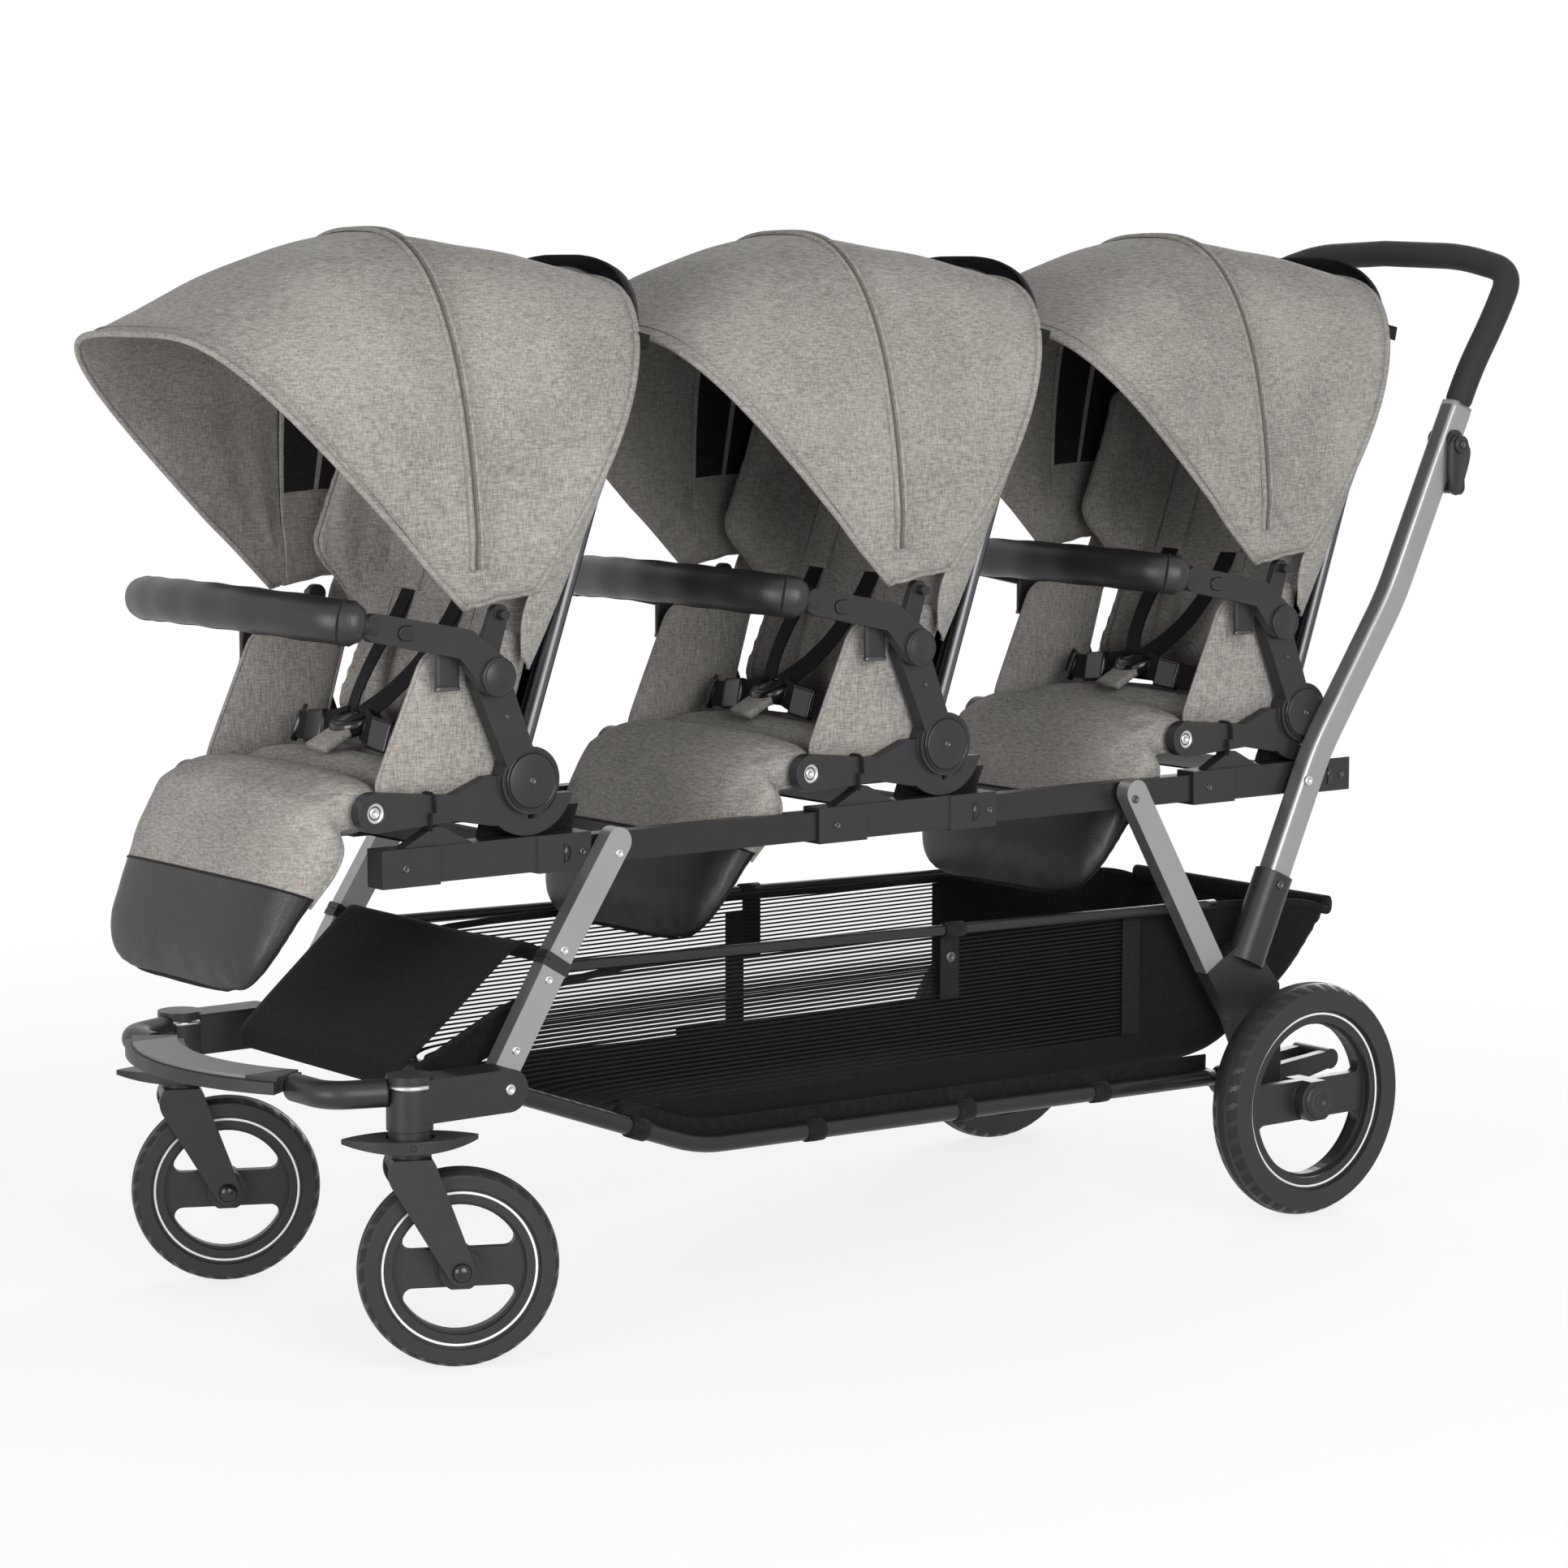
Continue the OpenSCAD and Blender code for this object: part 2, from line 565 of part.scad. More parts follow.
module bar_arm() difference() {
  union() {
    side(bar_in_y, bar_out_y) {
      link(joint, knee, joint_r, bar_arm_r + 1);
      link(knee, [bar_front_x - 18, bar_front_z - 3], bar_arm_r + 1, bar_arm_r);
    }
    pin(joint, bar_out_y - 1, bar_out_y + 1.5, joint_r - 1);
  }
  pin(joint, bar_in_y - 1, bar_out_y - 2.5, joint_pin_r + run_gap);
  side(bar_out_y - button_travel - 5, bar_out_y + 1) translate(button_at) button_outline(button_r + 0.4);
}
module bumper_bar(i) color(black) {
  at_seat(i) pair() bar_arm();
  at_bar(i) {
    bar_bow(bar_core_r, 0, bar_bend_a);
    pair() translate([-12, bar_mid_y, 0]) rotate([0, 90, 0]) cylinder(h = 12, r = bar_core_r);
  }
}
module bar_pad(i) color(dark) at_bar(i) bar_bow(bar_pad_r, bar_core_r + 0.5, bar_bend_a - bar_cuff_a);
module bar_button(i, is_left) color(black) at_seat(i) left_or_right(is_left)
  side(bar_out_y - 4.5, bar_out_y + button_out) translate(button_at) button_outline(button_r);

// Leg rest: a knee roll round the pivot that runs down into a closed foot pouch
function pouch_ring(r, f, w) =
  let (c = (r + f) / 2, d = (f - r) / 2, n = 3.2)
  [for (a = [0 : 20 : 340])
    let (p = c + d * sign(cos(a)) * pow(abs(cos(a)), 2 / n), y = sign(sin(a)) * pow(abs(sin(a)), 2 / n))
    [p.x, -y * w, p.y]];
module legrest(i) color(taupe) at_seat(i) {
  k = knee_r;
  skin([
    pouch_ring(pivot + [-0.98 * k, -0.3 * k], pivot + [-0.9 * k, 0.4 * k], knee_half_w - 14),
    pouch_ring(pivot + [-0.75 * k, -0.62 * k], pivot + [-0.52 * k, 0.85 * k], knee_half_w - 3),
    pouch_ring(pivot + [0, -0.85 * k], pivot + [0.3 * k, 0.97 * k], knee_half_w),
    pouch_ring(pivot + [19, -29], pivot + [46, 19], knee_half_w),
    pouch_ring(pivot + [22, -32], pivot + [58, 6], shin_half_w - 2),
    pouch_ring(pivot + [23, -34], pivot + [70, -12], shin_half_w),
    pouch_ring(pivot + [24, -42], pivot + [82, -36], foot_half_w),
    pouch_ring(pivot + [30, -95], pivot + [107, -94], foot_half_w),
    pouch_ring(pivot + [52, -135], pivot + [117, -130], foot_half_w - 5),
    pouch_ring(pivot + [72, -165], pivot + [113, -160], foot_half_w - 20),
    pouch_ring(pivot + [84, -178], pivot + [102, -177], foot_half_w - 44)]);
}

// Harness: a round buckle on a crotch strap, and a waist strap to each side
buckle_at = [108, 0, 36];
module webbing(pts) skin([for (i = [0 : len(pts) - 1])
  let (t = tangent(pts, i), s = unit(cross([0, 0, 1], t)), u = cross(t, s))
  [for (c = [[-1, -1], [-1, 1], [1, 1], [1, -1]]) pts[i] - s * c[0] * strap_w / 2 + u * c[1] * strap_t / 2]]);
module harness(i) color(dark) at_seat(i) {
  top = cushion_low_z + cushion_edge_t + cushion_crown;
  translate(buckle_at) cylinder(h = buckle_t, r = buckle_r, center = true);
  webbing([[138, 0, top + 2.4], [128, 0, top + 6], [buckle_at.x, 0, buckle_at.z]]);
  pair() webbing([[buckle_at.x, 0, buckle_at.z], [92, 40, 33], [66, 100, 31], [52, 146, 36]]);
}

// Seat rails: two rectangular tubes along the whole seat row
rail_front_x = seat_pitch + adapter_front_x;
rail_rear_x = -seat_pitch + adapter_rear_x;
module seat_rails() color(black) chassis() pair()
  translate([rail_rear_x, rail_out_y - rail_w, rail_z - rail_h / 2]) difference() {
    cube([rail_front_x - rail_rear_x, rail_w, rail_h]);
    translate([-1, rail_wall, rail_wall])
      cube([rail_front_x - rail_rear_x + 2, rail_w - 2 * rail_wall, rail_h - 2 * rail_wall]);
  }

// Seat adapters: a clamp sleeve on the rail for each seat side, with the wedge that the beam drops onto
module adapter(is_first, is_last) {
  g = 0.2;
  y0 = rail_out_y - rail_w;
  z0 = rail_z - hub_z;
  difference() {
    translate([adapter_rear_x, y0 - adapter_wall, z0 - rail_h / 2 - adapter_wall])
      cube([adapter_len, rail_w + 2 * adapter_wall, rail_h + 2 * adapter_wall]);
    translate([adapter_rear_x - 1, y0 - g, z0 - rail_h / 2 - g])
      cube([adapter_len + 2, rail_w + 2 * g, rail_h + 2 * g]);
    translate([adapter_rear_x + clamp_len, rail_out_y + adapter_wall / 2, z0 - rail_h])
      cube([adapter_len - 2 * clamp_len, adapter_wall, 2 * rail_h]);
    translate([adapter_rear_x + clamp_len, y0 - adapter_wall - 1, z0 - rail_h / 2 - adapter_wall - 1])
      cube([adapter_len - 2 * clamp_len, rail_w + 2 * adapter_wall + 2, adapter_wall / 2 + 1]);
  }
  side(beam_in_y, rail_out_y)
    polygon([[wedge_x - wedge_half, adapter_top], [wedge_x + wedge_half, adapter_top],
      [wedge_x + 4, wedge_top], [wedge_x - 4, wedge_top]]);
  if (is_first) translate([adapter_front_x, y0 - adapter_wall, z0 - rail_h / 2 - adapter_wall])
    cube([3, rail_w + 2 * adapter_wall, rail_h + 2 * adapter_wall]);
  if (is_last) translate([adapter_rear_x - 3, y0 - adapter_wall, z0 - rail_h / 2 - adapter_wall])
    cube([3, rail_w + 2 * adapter_wall, rail_h + 2 * adapter_wall]);
}
module seat_adapters() color(dark) for (i = [0 : 2]) at_seat(i) pair() adapter(i == 0, i == 2);

// Front legs: two flat tubes a side with a black knuckle between their halves
leg_top = [seat_pitch - 94, rail_z + 8];
leg_knee = [520, 379];
leg_foot = [582, 277];
upper_dir = unit(leg_knee - leg_top);
lower_dir = unit(leg_foot - leg_knee);
leg_out_y = leg_in_y + leg_t;
module front_legs() color(silver) chassis() pair() {
  side(leg_in_y, leg_out_y) {
    strip(leg_top, leg_knee - upper_dir * knuckle_len / 2, leg_w);
    translate(leg_top) circle(leg_w / 2);
    strip(leg_knee + lower_dir * knuckle_len / 2, leg_foot, leg_w);
    translate(leg_foot) circle(leg_w / 2);
  }
  pin(leg_top, rail_out_y + 0.3, leg_in_y + 1, leg_boss_r);
}
module leg_knuckles() color(black) chassis() pair() side(leg_in_y, leg_out_y + 1) {
  strip(leg_knee - upper_dir * knuckle_len / 2, leg_knee, leg_w + 4);
  strip(leg_knee, leg_knee + lower_dir * knuckle_len / 2, leg_w + 4);
}

// Rear struts: flat tubes from the rails down to the rear castings
strut_top = [275 - seat_pitch, rail_z + 4];
strut_foot = [-384, 285];
module rear_struts() color(silver) chassis() pair() {
  side(leg_in_y, leg_out_y) {
    strip(strut_top, strut_foot, leg_w);
    translate(strut_top) circle(leg_w / 2);
  }
  pin(strut_top, rail_out_y + 0.3, leg_in_y + 1, leg_boss_r);
}

// Handle: an oval tube up each side, thinner and round inside the foam grip
handle_foot = [-440, 301];
handle_bends = [[-542, 521], [-659, 691], [-784, 951]];
grip_low = [-765, 911];
handle_dir = unit(handle_bends[0] - handle_foot);
function on_side(p) = [p.x, handle_half_w, p.y];
side_path = concat(rounded([on_side(handle_foot), on_side(handle_bends[0]), on_side(handle_bends[1]),
  on_side(grip_low)], 40, 4));
grip_side = rounded([on_side(grip_low), on_side(handle_bends[2]), on_side([-826, 1014]),
  [grip_x, handle_half_w - 7, grip_z - 22], [grip_x + 4, handle_half_w - 84, grip_z - 4],
  [grip_x + 12, 0, grip_z]], 30, 3);
grip_path = mirrored(grip_side);
module handle_tube() color(silver) chassis() {
  pair() sweep(side_path, [0, 1, 0], handle_a, handle_b, 14);
  sweep(grip_path, [1, 0.2, 0], grip_core_r, grip_core_r, 10);
}
module handle_grip() color(dark) chassis()
  sleeve([for (k = [1 : len(grip_path) - 2]) grip_path[k]], [1, 0.2, 0], grip_r, grip_core_r + 1.2, 12);

// Release levers: a trigger on each side that straddles the handle tube
lever_at = [-746, 871];
lever_dir = unit(handle_bends[2] - handle_bends[1]);
lever_back = [-lever_dir.y, lever_dir.x];
lever_tip = lever_at - lever_dir * 46 + lever_back * (handle_a + 12);
module release_levers() color(black) chassis() pair() {
  for (y = [handle_half_w - handle_b - 0.6 - lever_t, handle_half_w + handle_b + 0.6])
    side(y, y + lever_t) link(lever_at, lever_tip, 12, 9);
  pin(lever_tip, handle_half_w - handle_b - 1, handle_half_w + handle_b + 1, 8);
}

// Rear castings: a body that takes the strut, a socket for the handle and an arm down to the axle
axle = [rear_axle_x, rear_r];
casting_y = [leg_in_y, max(leg_out_y + 2, handle_half_w + 5)];
socket_wall = 4;
module oval(a, b) {
  for (s = [-1, 1]) translate([s * (a - b), 0]) circle(b);
  square([2 * (a - b), 2 * b], center = true);
}
module along_socket(lift) translate([handle_foot.x, handle_half_w, handle_foot.y])
  rotate([0, atan2(handle_dir.x, handle_dir.y), 0]) translate([0, 0, lift]) children();
module rear_castings() color(black) chassis() pair() difference() {
  union() {
    side(casting_y[0], casting_y[1]) {
      polygon([strut_foot + [12.5, -8.2], strut_foot + [-12.5, 8.2], handle_foot + [6, 14],
        handle_foot + [-44, -46], axle + [-21, 4], axle + [21, 4], handle_foot + [30, -82]]);
      translate(axle) circle(21);
    }
    along_socket(-18) linear_extrude(108) oval(handle_a + 1 + socket_wall, handle_b + 1 + socket_wall);
  }
  along_socket(0) linear_extrude(120) oval(handle_a + 1, handle_b + 1);
  side(casting_y[0] - 1, casting_y[1] + 1) strip(strut_foot, strut_top, leg_w + 0.6);
  pin(axle, 0, casting_y[1] + 1, axle_r + run_gap);
}

// Rear axle: a tube between the castings and a rod through both wheels
module rear_axle() color(black) chassis() {
  pin(axle, -casting_y[0] + 0.2, casting_y[0] - 0.2, 11);
  pin(axle, -rear_y - rear_w / 2, rear_y + rear_w / 2, axle_r);
}

// Brake pedal: a foot bar that turns on the axle tube, behind the near wheel
pedal_y = [128, 184];
pedal_tip = [rear_axle_x - 126, rear_r + 18];
module brake_pedal() color(black) chassis() difference() {
  union() {
    side(pedal_y[0], pedal_y[0] + 12) link(axle, pedal_tip, 17, 10);
    side(pedal_y[1] - 12, pedal_y[1]) link(axle, pedal_tip, 17, 10);
    pin(pedal_tip, pedal_y[0], pedal_y[1], 12);
  }
  pin(axle, pedal_y[0] - 1, pedal_y[1] + 1, 11 + run_gap);
}

// Basket rails: a thin upper rail and a stout lower rail on each side
upper_path = [[506, upper_rail_y, 371], [0, upper_rail_y, 360], [-404, upper_rail_y, 351]];
lower_path = rounded([[578, lower_rail_y, 256], [412, lower_rail_y, 196], [322, lower_rail_y, 164],
  [0, lower_rail_y, 158], [-410, lower_rail_y, 150]], 30, 3);
module basket_rails() color(black) chassis() pair() {
  sweep(upper_path, [0, 1, 0], upper_rail_r, upper_rail_r, 12);
  sweep(lower_path, [0, 1, 0], lower_rail_r, lower_rail_r, 12);
}

// Basket: one open tub with a sloping front cover
basket_outline = [[-606, 326], [-558, 236], [-404, 160], [0, 160], [326, 166], [556, 240], [664, 262],
  [668, 284], [494, 374], [488, 368], [0, 357], [-400, 350], [-560, 340]];
basket_inside = [[-601, 322], [-556, 240], [-403, 163], [0, 163], [325, 169], [555, 243], [660, 265],
  [664, 281], [488, 369], [488, 500], [-601, 500]];
module basket() color(dark) chassis() difference() {
  side(-basket_half_w, basket_half_w) polygon(basket_outline);
  side(-basket_half_w + basket_wall, basket_half_w - basket_wall) polygon(basket_inside);
}

// Front castings: a beam outside each leg foot that ends in the caster stem housing
casting_low = 245;
casting_high = 288;
housing_low = 238;
casting_front_y = [leg_out_y + 0.3, stem_y + housing_r - 1];
module front_castings() color(black) chassis() pair() difference() {
  union() {
    translate([leg_foot.x + 22, casting_front_y[0], casting_low])
      cube([stem_x - leg_foot.x - 22, casting_front_y[1] - casting_front_y[0], casting_high - casting_low]);
    pin([leg_foot.x + 22, (casting_low + casting_high) / 2], casting_front_y[0], casting_front_y[1],
      (casting_high - casting_low) / 2);
    translate([stem_x, stem_y, housing_low]) cylinder(h = casting_high + 4 - housing_low, r = housing_r);
    pin(leg_foot + [0, -6], leg_in_y - 4, leg_in_y - 0.3, leg_boss_r);
    pin(leg_foot + [22, -10], leg_in_y - 4, casting_front_y[0] + 1, 5);
    side(leg_in_y - 4, leg_in_y - 0.3) link(leg_foot + [0, -6], leg_foot + [22, -10], leg_boss_r, 5);
  }
  translate([stem_x, stem_y, housing_low - 1])
    cylinder(h = casting_high - 6 - housing_low + 1, r = stem_r + run_gap);
}

// Front crossbar: a bent tube from each stem housing to the curved footboard between them
tread_x = stem_x - 129;
crossbar_bend = [stem_x + 76, stem_y - 28, crossbar_z];
tread_half_angle = 32;
tread_end = [tread_x + tread_radius * cos(tread_half_angle), tread_radius * sin(tread_half_angle), crossbar_z];
crossbar_start = [stem_x, stem_y, crossbar_z];
crossbar_out = unit(crossbar_bend - crossbar_start) * (housing_r + seat_gap);
crossbar_in = [-sin(tread_half_angle), cos(tread_half_angle), 0] * 8;
crossbar_path = rounded([crossbar_start + crossbar_out, crossbar_bend, tread_end + crossbar_in], 24, 5);
module front_crossbar() color(black) chassis() pair()
  sweep(crossbar_path, [0, 0, 1], crossbar_r, crossbar_r, 14);
// Footboard: an arc of tread with a raised pad between two lips
module footboard() color([0.3, 0.3, 0.31]) chassis()
  translate([tread_x, 0, crossbar_z - 3]) rotate([0, 0, -tread_half_angle])
    rotate_extrude(angle = 2 * tread_half_angle)
      translate([tread_radius - tread_w / 2, 0]) {
        square([tread_w, tread_t - tread_rise]);
        translate([tread_lip, 0]) square([tread_w - 2 * tread_lip, tread_t]);
      }

// Casters: fork with stem and axle pin, swivel lock lever and wheel, drawn about the stem
lock_z = 224;
crown_low = front_r * 2 + 4;
module at_caster(is_left) chassis() translate([stem_x, is_left ? stem_y : -stem_y, 0])
  rotate([0, 0, caster_turn]) children();
fork_gap = front_w / 2 + 3;
fork_t = 8;
fork_top_r = 24;
fork_foot_r = 14;
crown_t = 9;
lock_pin_r = 3;
wheel_hub = [-caster_trail, front_r];
fork_top = [0, crown_low - 6];
module under_crown() intersection() {
  children();
  translate([-2 * caster_trail, 0]) square([4 * caster_trail, crown_low + crown_t]);
}
module caster_fork(is_left) color(black) at_caster(is_left) {
  translate([0, 0, lock_z]) cylinder(h = casting_high - 8 - lock_z, r = stem_r);
  translate([0, 0, crown_low]) cylinder(h = housing_low - 0.5 - crown_low, r = neck_r);
  pair() side(fork_gap, fork_gap + fork_t) under_crown() link(fork_top, wheel_hub, fork_top_r, fork_foot_r);
  side(-fork_gap - fork_t, fork_gap + fork_t) under_crown() intersection() {
    translate(fork_top) circle(fork_top_r);
    translate([-fork_top_r, crown_low]) square(2 * fork_top_r);
  }
  pin(wheel_hub, -fork_gap - fork_t - 3, fork_gap + fork_t + 3, axle_r);
  pin([0, lock_z], -lock_w / 2 + 1, lock_w / 2 - 1, lock_pin_r);
}
// Swivel lock: a pedal pointed at both ends, deepest at the neck that it tips on
module swivel_lock(is_left) color(black) at_caster(is_left) {
  b = lock_w / 2;
  a = lock_len / 2;
  r = (a * a + b * b) / (2 * b);
  low = lock_z - lock_t / 2;
  rise = lock_t - 5;
  keel_r = (a * a + rise * rise) / (2 * rise);
  difference() {
    intersection() {
      translate([0, 0, low]) linear_extrude(lock_t) intersection() {
        translate([0, r - b]) circle(r, $fn = 96);
        translate([0, b - r]) circle(r, $fn = 96);
      }
      side(-b, b) translate([0, low + keel_r]) circle(keel_r, $fn = 192);
    }
    translate([0, 0, lock_z - lock_t]) cylinder(h = 2 * lock_t, r = neck_r + 3);
    pin([0, lock_z], -lock_w, lock_w, lock_pin_r + run_gap);
  }
}

// Wheels: a rim with two D-shaped windows either side of a bridge, and a rounded tyre
function arc(c, r, a0, a1, n) = [for (k = [0 : n]) c + r * dir(mix(a0, a1, k / n))];
// A segment of a disc above height h, with both corners rounded to radius c
module window(r, h, c) {
  x = sqrt(pow(r - c, 2) - pow(h + c, 2));
  a = atan2(h + c, x);
  polygon(concat(arc([x, h + c], c, -90, a - 5, 6), arc([0, 0], r, a, 180 - a, 18),
    arc([-x, h + c], c, 185 - a, 270, 6)));
}
rim_t = 10;
web_t = 12;
module wheel(r, w, flange, hub, tread) {
  rim = w * 0.36;
  web = web_t / 2;
  edge = w / 2 + 1;
  in = flange - rim_t;
  bore = axle_r + run_gap;
  color(black) rotate([90, 0, 0]) difference() {
    rotate_extrude() polygon([[bore, -edge], [hub, -edge], [hub, -web], [in, -web], [in, -rim], [flange, -rim],
      [flange, rim], [in, rim], [in, web], [hub, web], [hub, edge], [bore, edge]]);
    for (k = [0, 180]) rotate([0, 0, k]) translate([0, 0, -w]) linear_extrude(2 * w)
      window(in - 3, hub * 0.9, 9);
  }
  color(dark) rotate([90, 0, 0]) rotate_extrude() {
    x = flange + 0.1;
    translate([x, -rim]) square([r - tread - x + 0.01, 2 * rim]);
    intersection() {
      translate([r - tread - w * 0.6, 0]) circle(tread + w * 0.6, $fn = 96);
      translate([x + 4, -w / 2]) square([r - x, w]);
    }
  }
}
module front_wheel(is_left) at_caster(is_left) translate([wheel_hub.x, 0, wheel_hub.y])
  wheel(front_r, front_w, front_rim_r, front_hub_r, front_tread);
module rear_wheel(is_left) chassis() translate([axle.x, is_left ? rear_y : -rear_y, axle.y])
  wheel(rear_r, rear_w, rear_rim_r, rear_hub_r, rear_tread);

for (i = [0 : 2]) {
  s = str(SEATS[i], "_seat_");
  seat_frame(i);
  seat_cushion(i);
  back_frame(i);
  back_pad(i);
  canopy_rear(i);
  canopy_front(i);
  bumper_bar(i);
  bar_pad(i);
  bar_button(i, true);
  bar_button(i, false);
  legrest(i);
  harness(i);
}
seat_rails();
seat_adapters();
front_legs();
leg_knuckles();
rear_struts();
handle_tube();
handle_grip();
release_levers();
rear_castings();
basket_rails();
basket();
front_castings();
front_crossbar();
footboard();
rear_axle();
brake_pedal();
caster_fork(true);  // caster_fork_left
caster_fork(false);  // caster_fork_right
swivel_lock(true);  // swivel_lock_left
swivel_lock(false);  // swivel_lock_right
front_wheel(true);  // front_wheel_left
front_wheel(false);  // front_wheel_right
rear_wheel(true);  // rear_wheel_left
rear_wheel(false);  // rear_wheel_right
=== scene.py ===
import math
import bpy
import numpy as np
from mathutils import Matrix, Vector
from mathutils.bvhtree import BVHTree


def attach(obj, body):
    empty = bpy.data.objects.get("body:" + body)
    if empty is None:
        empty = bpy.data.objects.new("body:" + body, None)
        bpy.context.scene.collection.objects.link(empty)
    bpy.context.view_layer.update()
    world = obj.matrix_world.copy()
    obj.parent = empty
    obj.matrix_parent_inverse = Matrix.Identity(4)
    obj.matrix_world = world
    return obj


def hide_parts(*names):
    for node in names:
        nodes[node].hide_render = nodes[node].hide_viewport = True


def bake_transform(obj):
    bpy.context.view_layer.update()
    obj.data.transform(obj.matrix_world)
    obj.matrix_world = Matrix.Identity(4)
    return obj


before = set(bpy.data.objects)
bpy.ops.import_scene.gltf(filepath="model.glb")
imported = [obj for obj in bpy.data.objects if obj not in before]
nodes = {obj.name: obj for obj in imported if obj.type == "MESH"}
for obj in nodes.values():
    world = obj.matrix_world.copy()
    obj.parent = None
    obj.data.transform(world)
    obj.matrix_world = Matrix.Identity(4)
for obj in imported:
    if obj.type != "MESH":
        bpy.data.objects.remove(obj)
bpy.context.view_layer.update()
print("frame loaded:", len(nodes), "nodes")

scene = bpy.context.scene
scene.view_settings.view_transform = "Standard"

# camera of the photograph, in metres
view = {"place": (2.8455, 3.5772, 1.0588), "towards": (-0.6043, -0.7872, -0.1230), "lens": 95.29,
        "shiftX": 0.0118, "shiftY": 0.0052, "sensor": 36, "clipEnd": 50}
camData = bpy.data.cameras.new("photoCamera")
camData.lens = view["lens"]
camData.sensor_width = view["sensor"]
camData.shift_x = view["shiftX"]
camData.shift_y = view["shiftY"]
camData.clip_end = view["clipEnd"]
camObj = bpy.data.objects.new("photoCamera", camData)
camObj.location = view["place"]
camObj.rotation_euler = Vector(view["towards"]).to_track_quat("-Z", "Y").to_euler()
scene.collection.objects.link(camObj)
scene.camera = camObj


# shader helpers; each sum returns the socket that holds its result

def feed(tree, node, sockets):
    # inputs given as numbers, colours or links
    for k, v in sockets.items():
        if isinstance(v, bpy.types.NodeSocket):
            tree.links.new(v, node.inputs[k])
        else:
            node.inputs[k].default_value = v


def put(tree, kind, sockets=None, **props):
    # a node with its properties set and its inputs fed
    n = tree.nodes.new(kind)
    for k, v in props.items():
        setattr(n, k, v)
    feed(tree, n, sockets or {})
    return n


def maths(tree, operation, a, b=None, **props):
    # one sum on a, or on a and b
    return put(tree, "ShaderNodeMath", {0: a} if b is None else {0: a, 1: b}, operation=operation, **props).outputs[0]


def vectors(tree, operation, a, b):
    # one sum on two vectors; all its outputs
    return put(tree, "ShaderNodeVectorMath", {0: a, 1: b}, operation=operation).outputs


def mapped(tree, value, lo=0.0, hi=1.0, toLo=0.0, toHi=1.0, **props):
    # a straight line from lo..hi to toLo..toHi
    ends = {"Value": value, "From Min": lo, "From Max": hi, "To Min": toLo, "To Max": toHi}
    return put(tree, "ShaderNodeMapRange", ends, **props).outputs[0]


def mixed(tree, share, a, b):
    # colour a where the share is 0, b where it is 1
    return put(tree, "ShaderNodeMixRGB", {0: share, 1: a, 2: b}).outputs[0]


def noise(tree, at, scale, detail=2.0):
    # cloudy values about one half
    return put(tree, "ShaderNodeTexNoise", {"Vector": at, "Scale": scale, "Detail": detail}).outputs["Fac"]


def newGroup(name, inputs, outputs):
    # a node group whose sockets are given as name and kind; its inputs are read as outputs of the first node
    g = bpy.data.node_groups.new(name, "ShaderNodeTree")
    for way, sockets in (("INPUT", inputs), ("OUTPUT", outputs)):
        for n, kind in sockets.items():
            g.interface.new_socket(n, in_out=way, socket_type="NodeSocket" + kind)
    return g, g.nodes.new("NodeGroupInput").outputs, g.nodes.new("NodeGroupOutput")


def makeHeather():
    # two noises stretched across each other stand for warp and weft, mixed between a dark and a light yarn
    g, i, o = newGroup("heatherCloth", {"Vector": "Vector", "Dark": "Color", "Light": "Color", "Scale": "Float"},
                       {"Color": "Color", "Height": "Float"})
    scaled = put(g, "ShaderNodeVectorMath", {0: i["Vector"], "Scale": i["Scale"]}, operation="SCALE").outputs[0]
    warp, weft = (vectors(g, "MULTIPLY", scaled, stretch)[0] for stretch in ((1, 1, 0.14), (0.14, 0.14, 1)))
    both = maths(g, "ADD", noise(g, warp, 1.0, 3.0), noise(g, weft, 1.0, 3.0))
    broad = mapped(g, noise(g, i["Vector"], 9.0), 0.3, 0.7, -0.14, 0.14)
    share = maths(g, "ADD", mapped(g, both, 0.72, 1.28), broad, use_clamp=True)
    feed(g, o, {"Color": mixed(g, share, i["Dark"], i["Light"]), "Height": both})
    return g


def makeGrain():
    # rounded cells with a noise between them, for leathercloth and moulded plastic
    g, i, o = newGroup("softGrain", {"Vector": "Vector", "Scale": "Float"}, {"Height": "Float", "Mask": "Float"})
    cells = put(g, "ShaderNodeTexVoronoi", {"Vector": i["Vector"], "Scale": i["Scale"]}, feature="SMOOTH_F1")
    patches = noise(g, i["Vector"], maths(g, "MULTIPLY", i["Scale"], 0.06), 4.0)
    feed(g, o, {"Height": cells.outputs["Distance"], "Mask": patches})
    return g


def makeBrushed():
    # noise drawn out along one direction, for anodised tube
    g, i, o = newGroup("brushedTube", {"Vector": "Vector", "Stretch": "Vector"}, {"Streak": "Float", "Broad": "Float"})
    drawn = vectors(g, "MULTIPLY", i["Vector"], i["Stretch"])[0]
    feed(g, o, {"Streak": noise(g, drawn, 1.0, 5.0), "Broad": noise(g, i["Vector"], 14.0)})
    return g


heather, grain, brushed = makeHeather(), makeGrain(), makeBrushed()


def baseMaterial(name):
    # a plain shader, and the Object coordinates that every pattern reads
    m = bpy.data.materials.new(name)
    m.use_nodes = True
    t = m.node_tree
    t.nodes.clear()
    p = t.nodes.new("ShaderNodeBsdfPrincipled")
    put(t, "ShaderNodeOutputMaterial", {0: p.outputs[0]})
    return m, t, p, t.nodes.new("ShaderNodeTexCoord").outputs["Object"]


def pattern(t, group, **sockets):
    # a node group placed in a material with its own values
    return put(t, "ShaderNodeGroup", sockets, node_tree=group).outputs


def shades(colour, low, high):
    # a darker and a lighter tone of one colour
    return ((*(c * k for c in colour), 1) for k in (low, high))


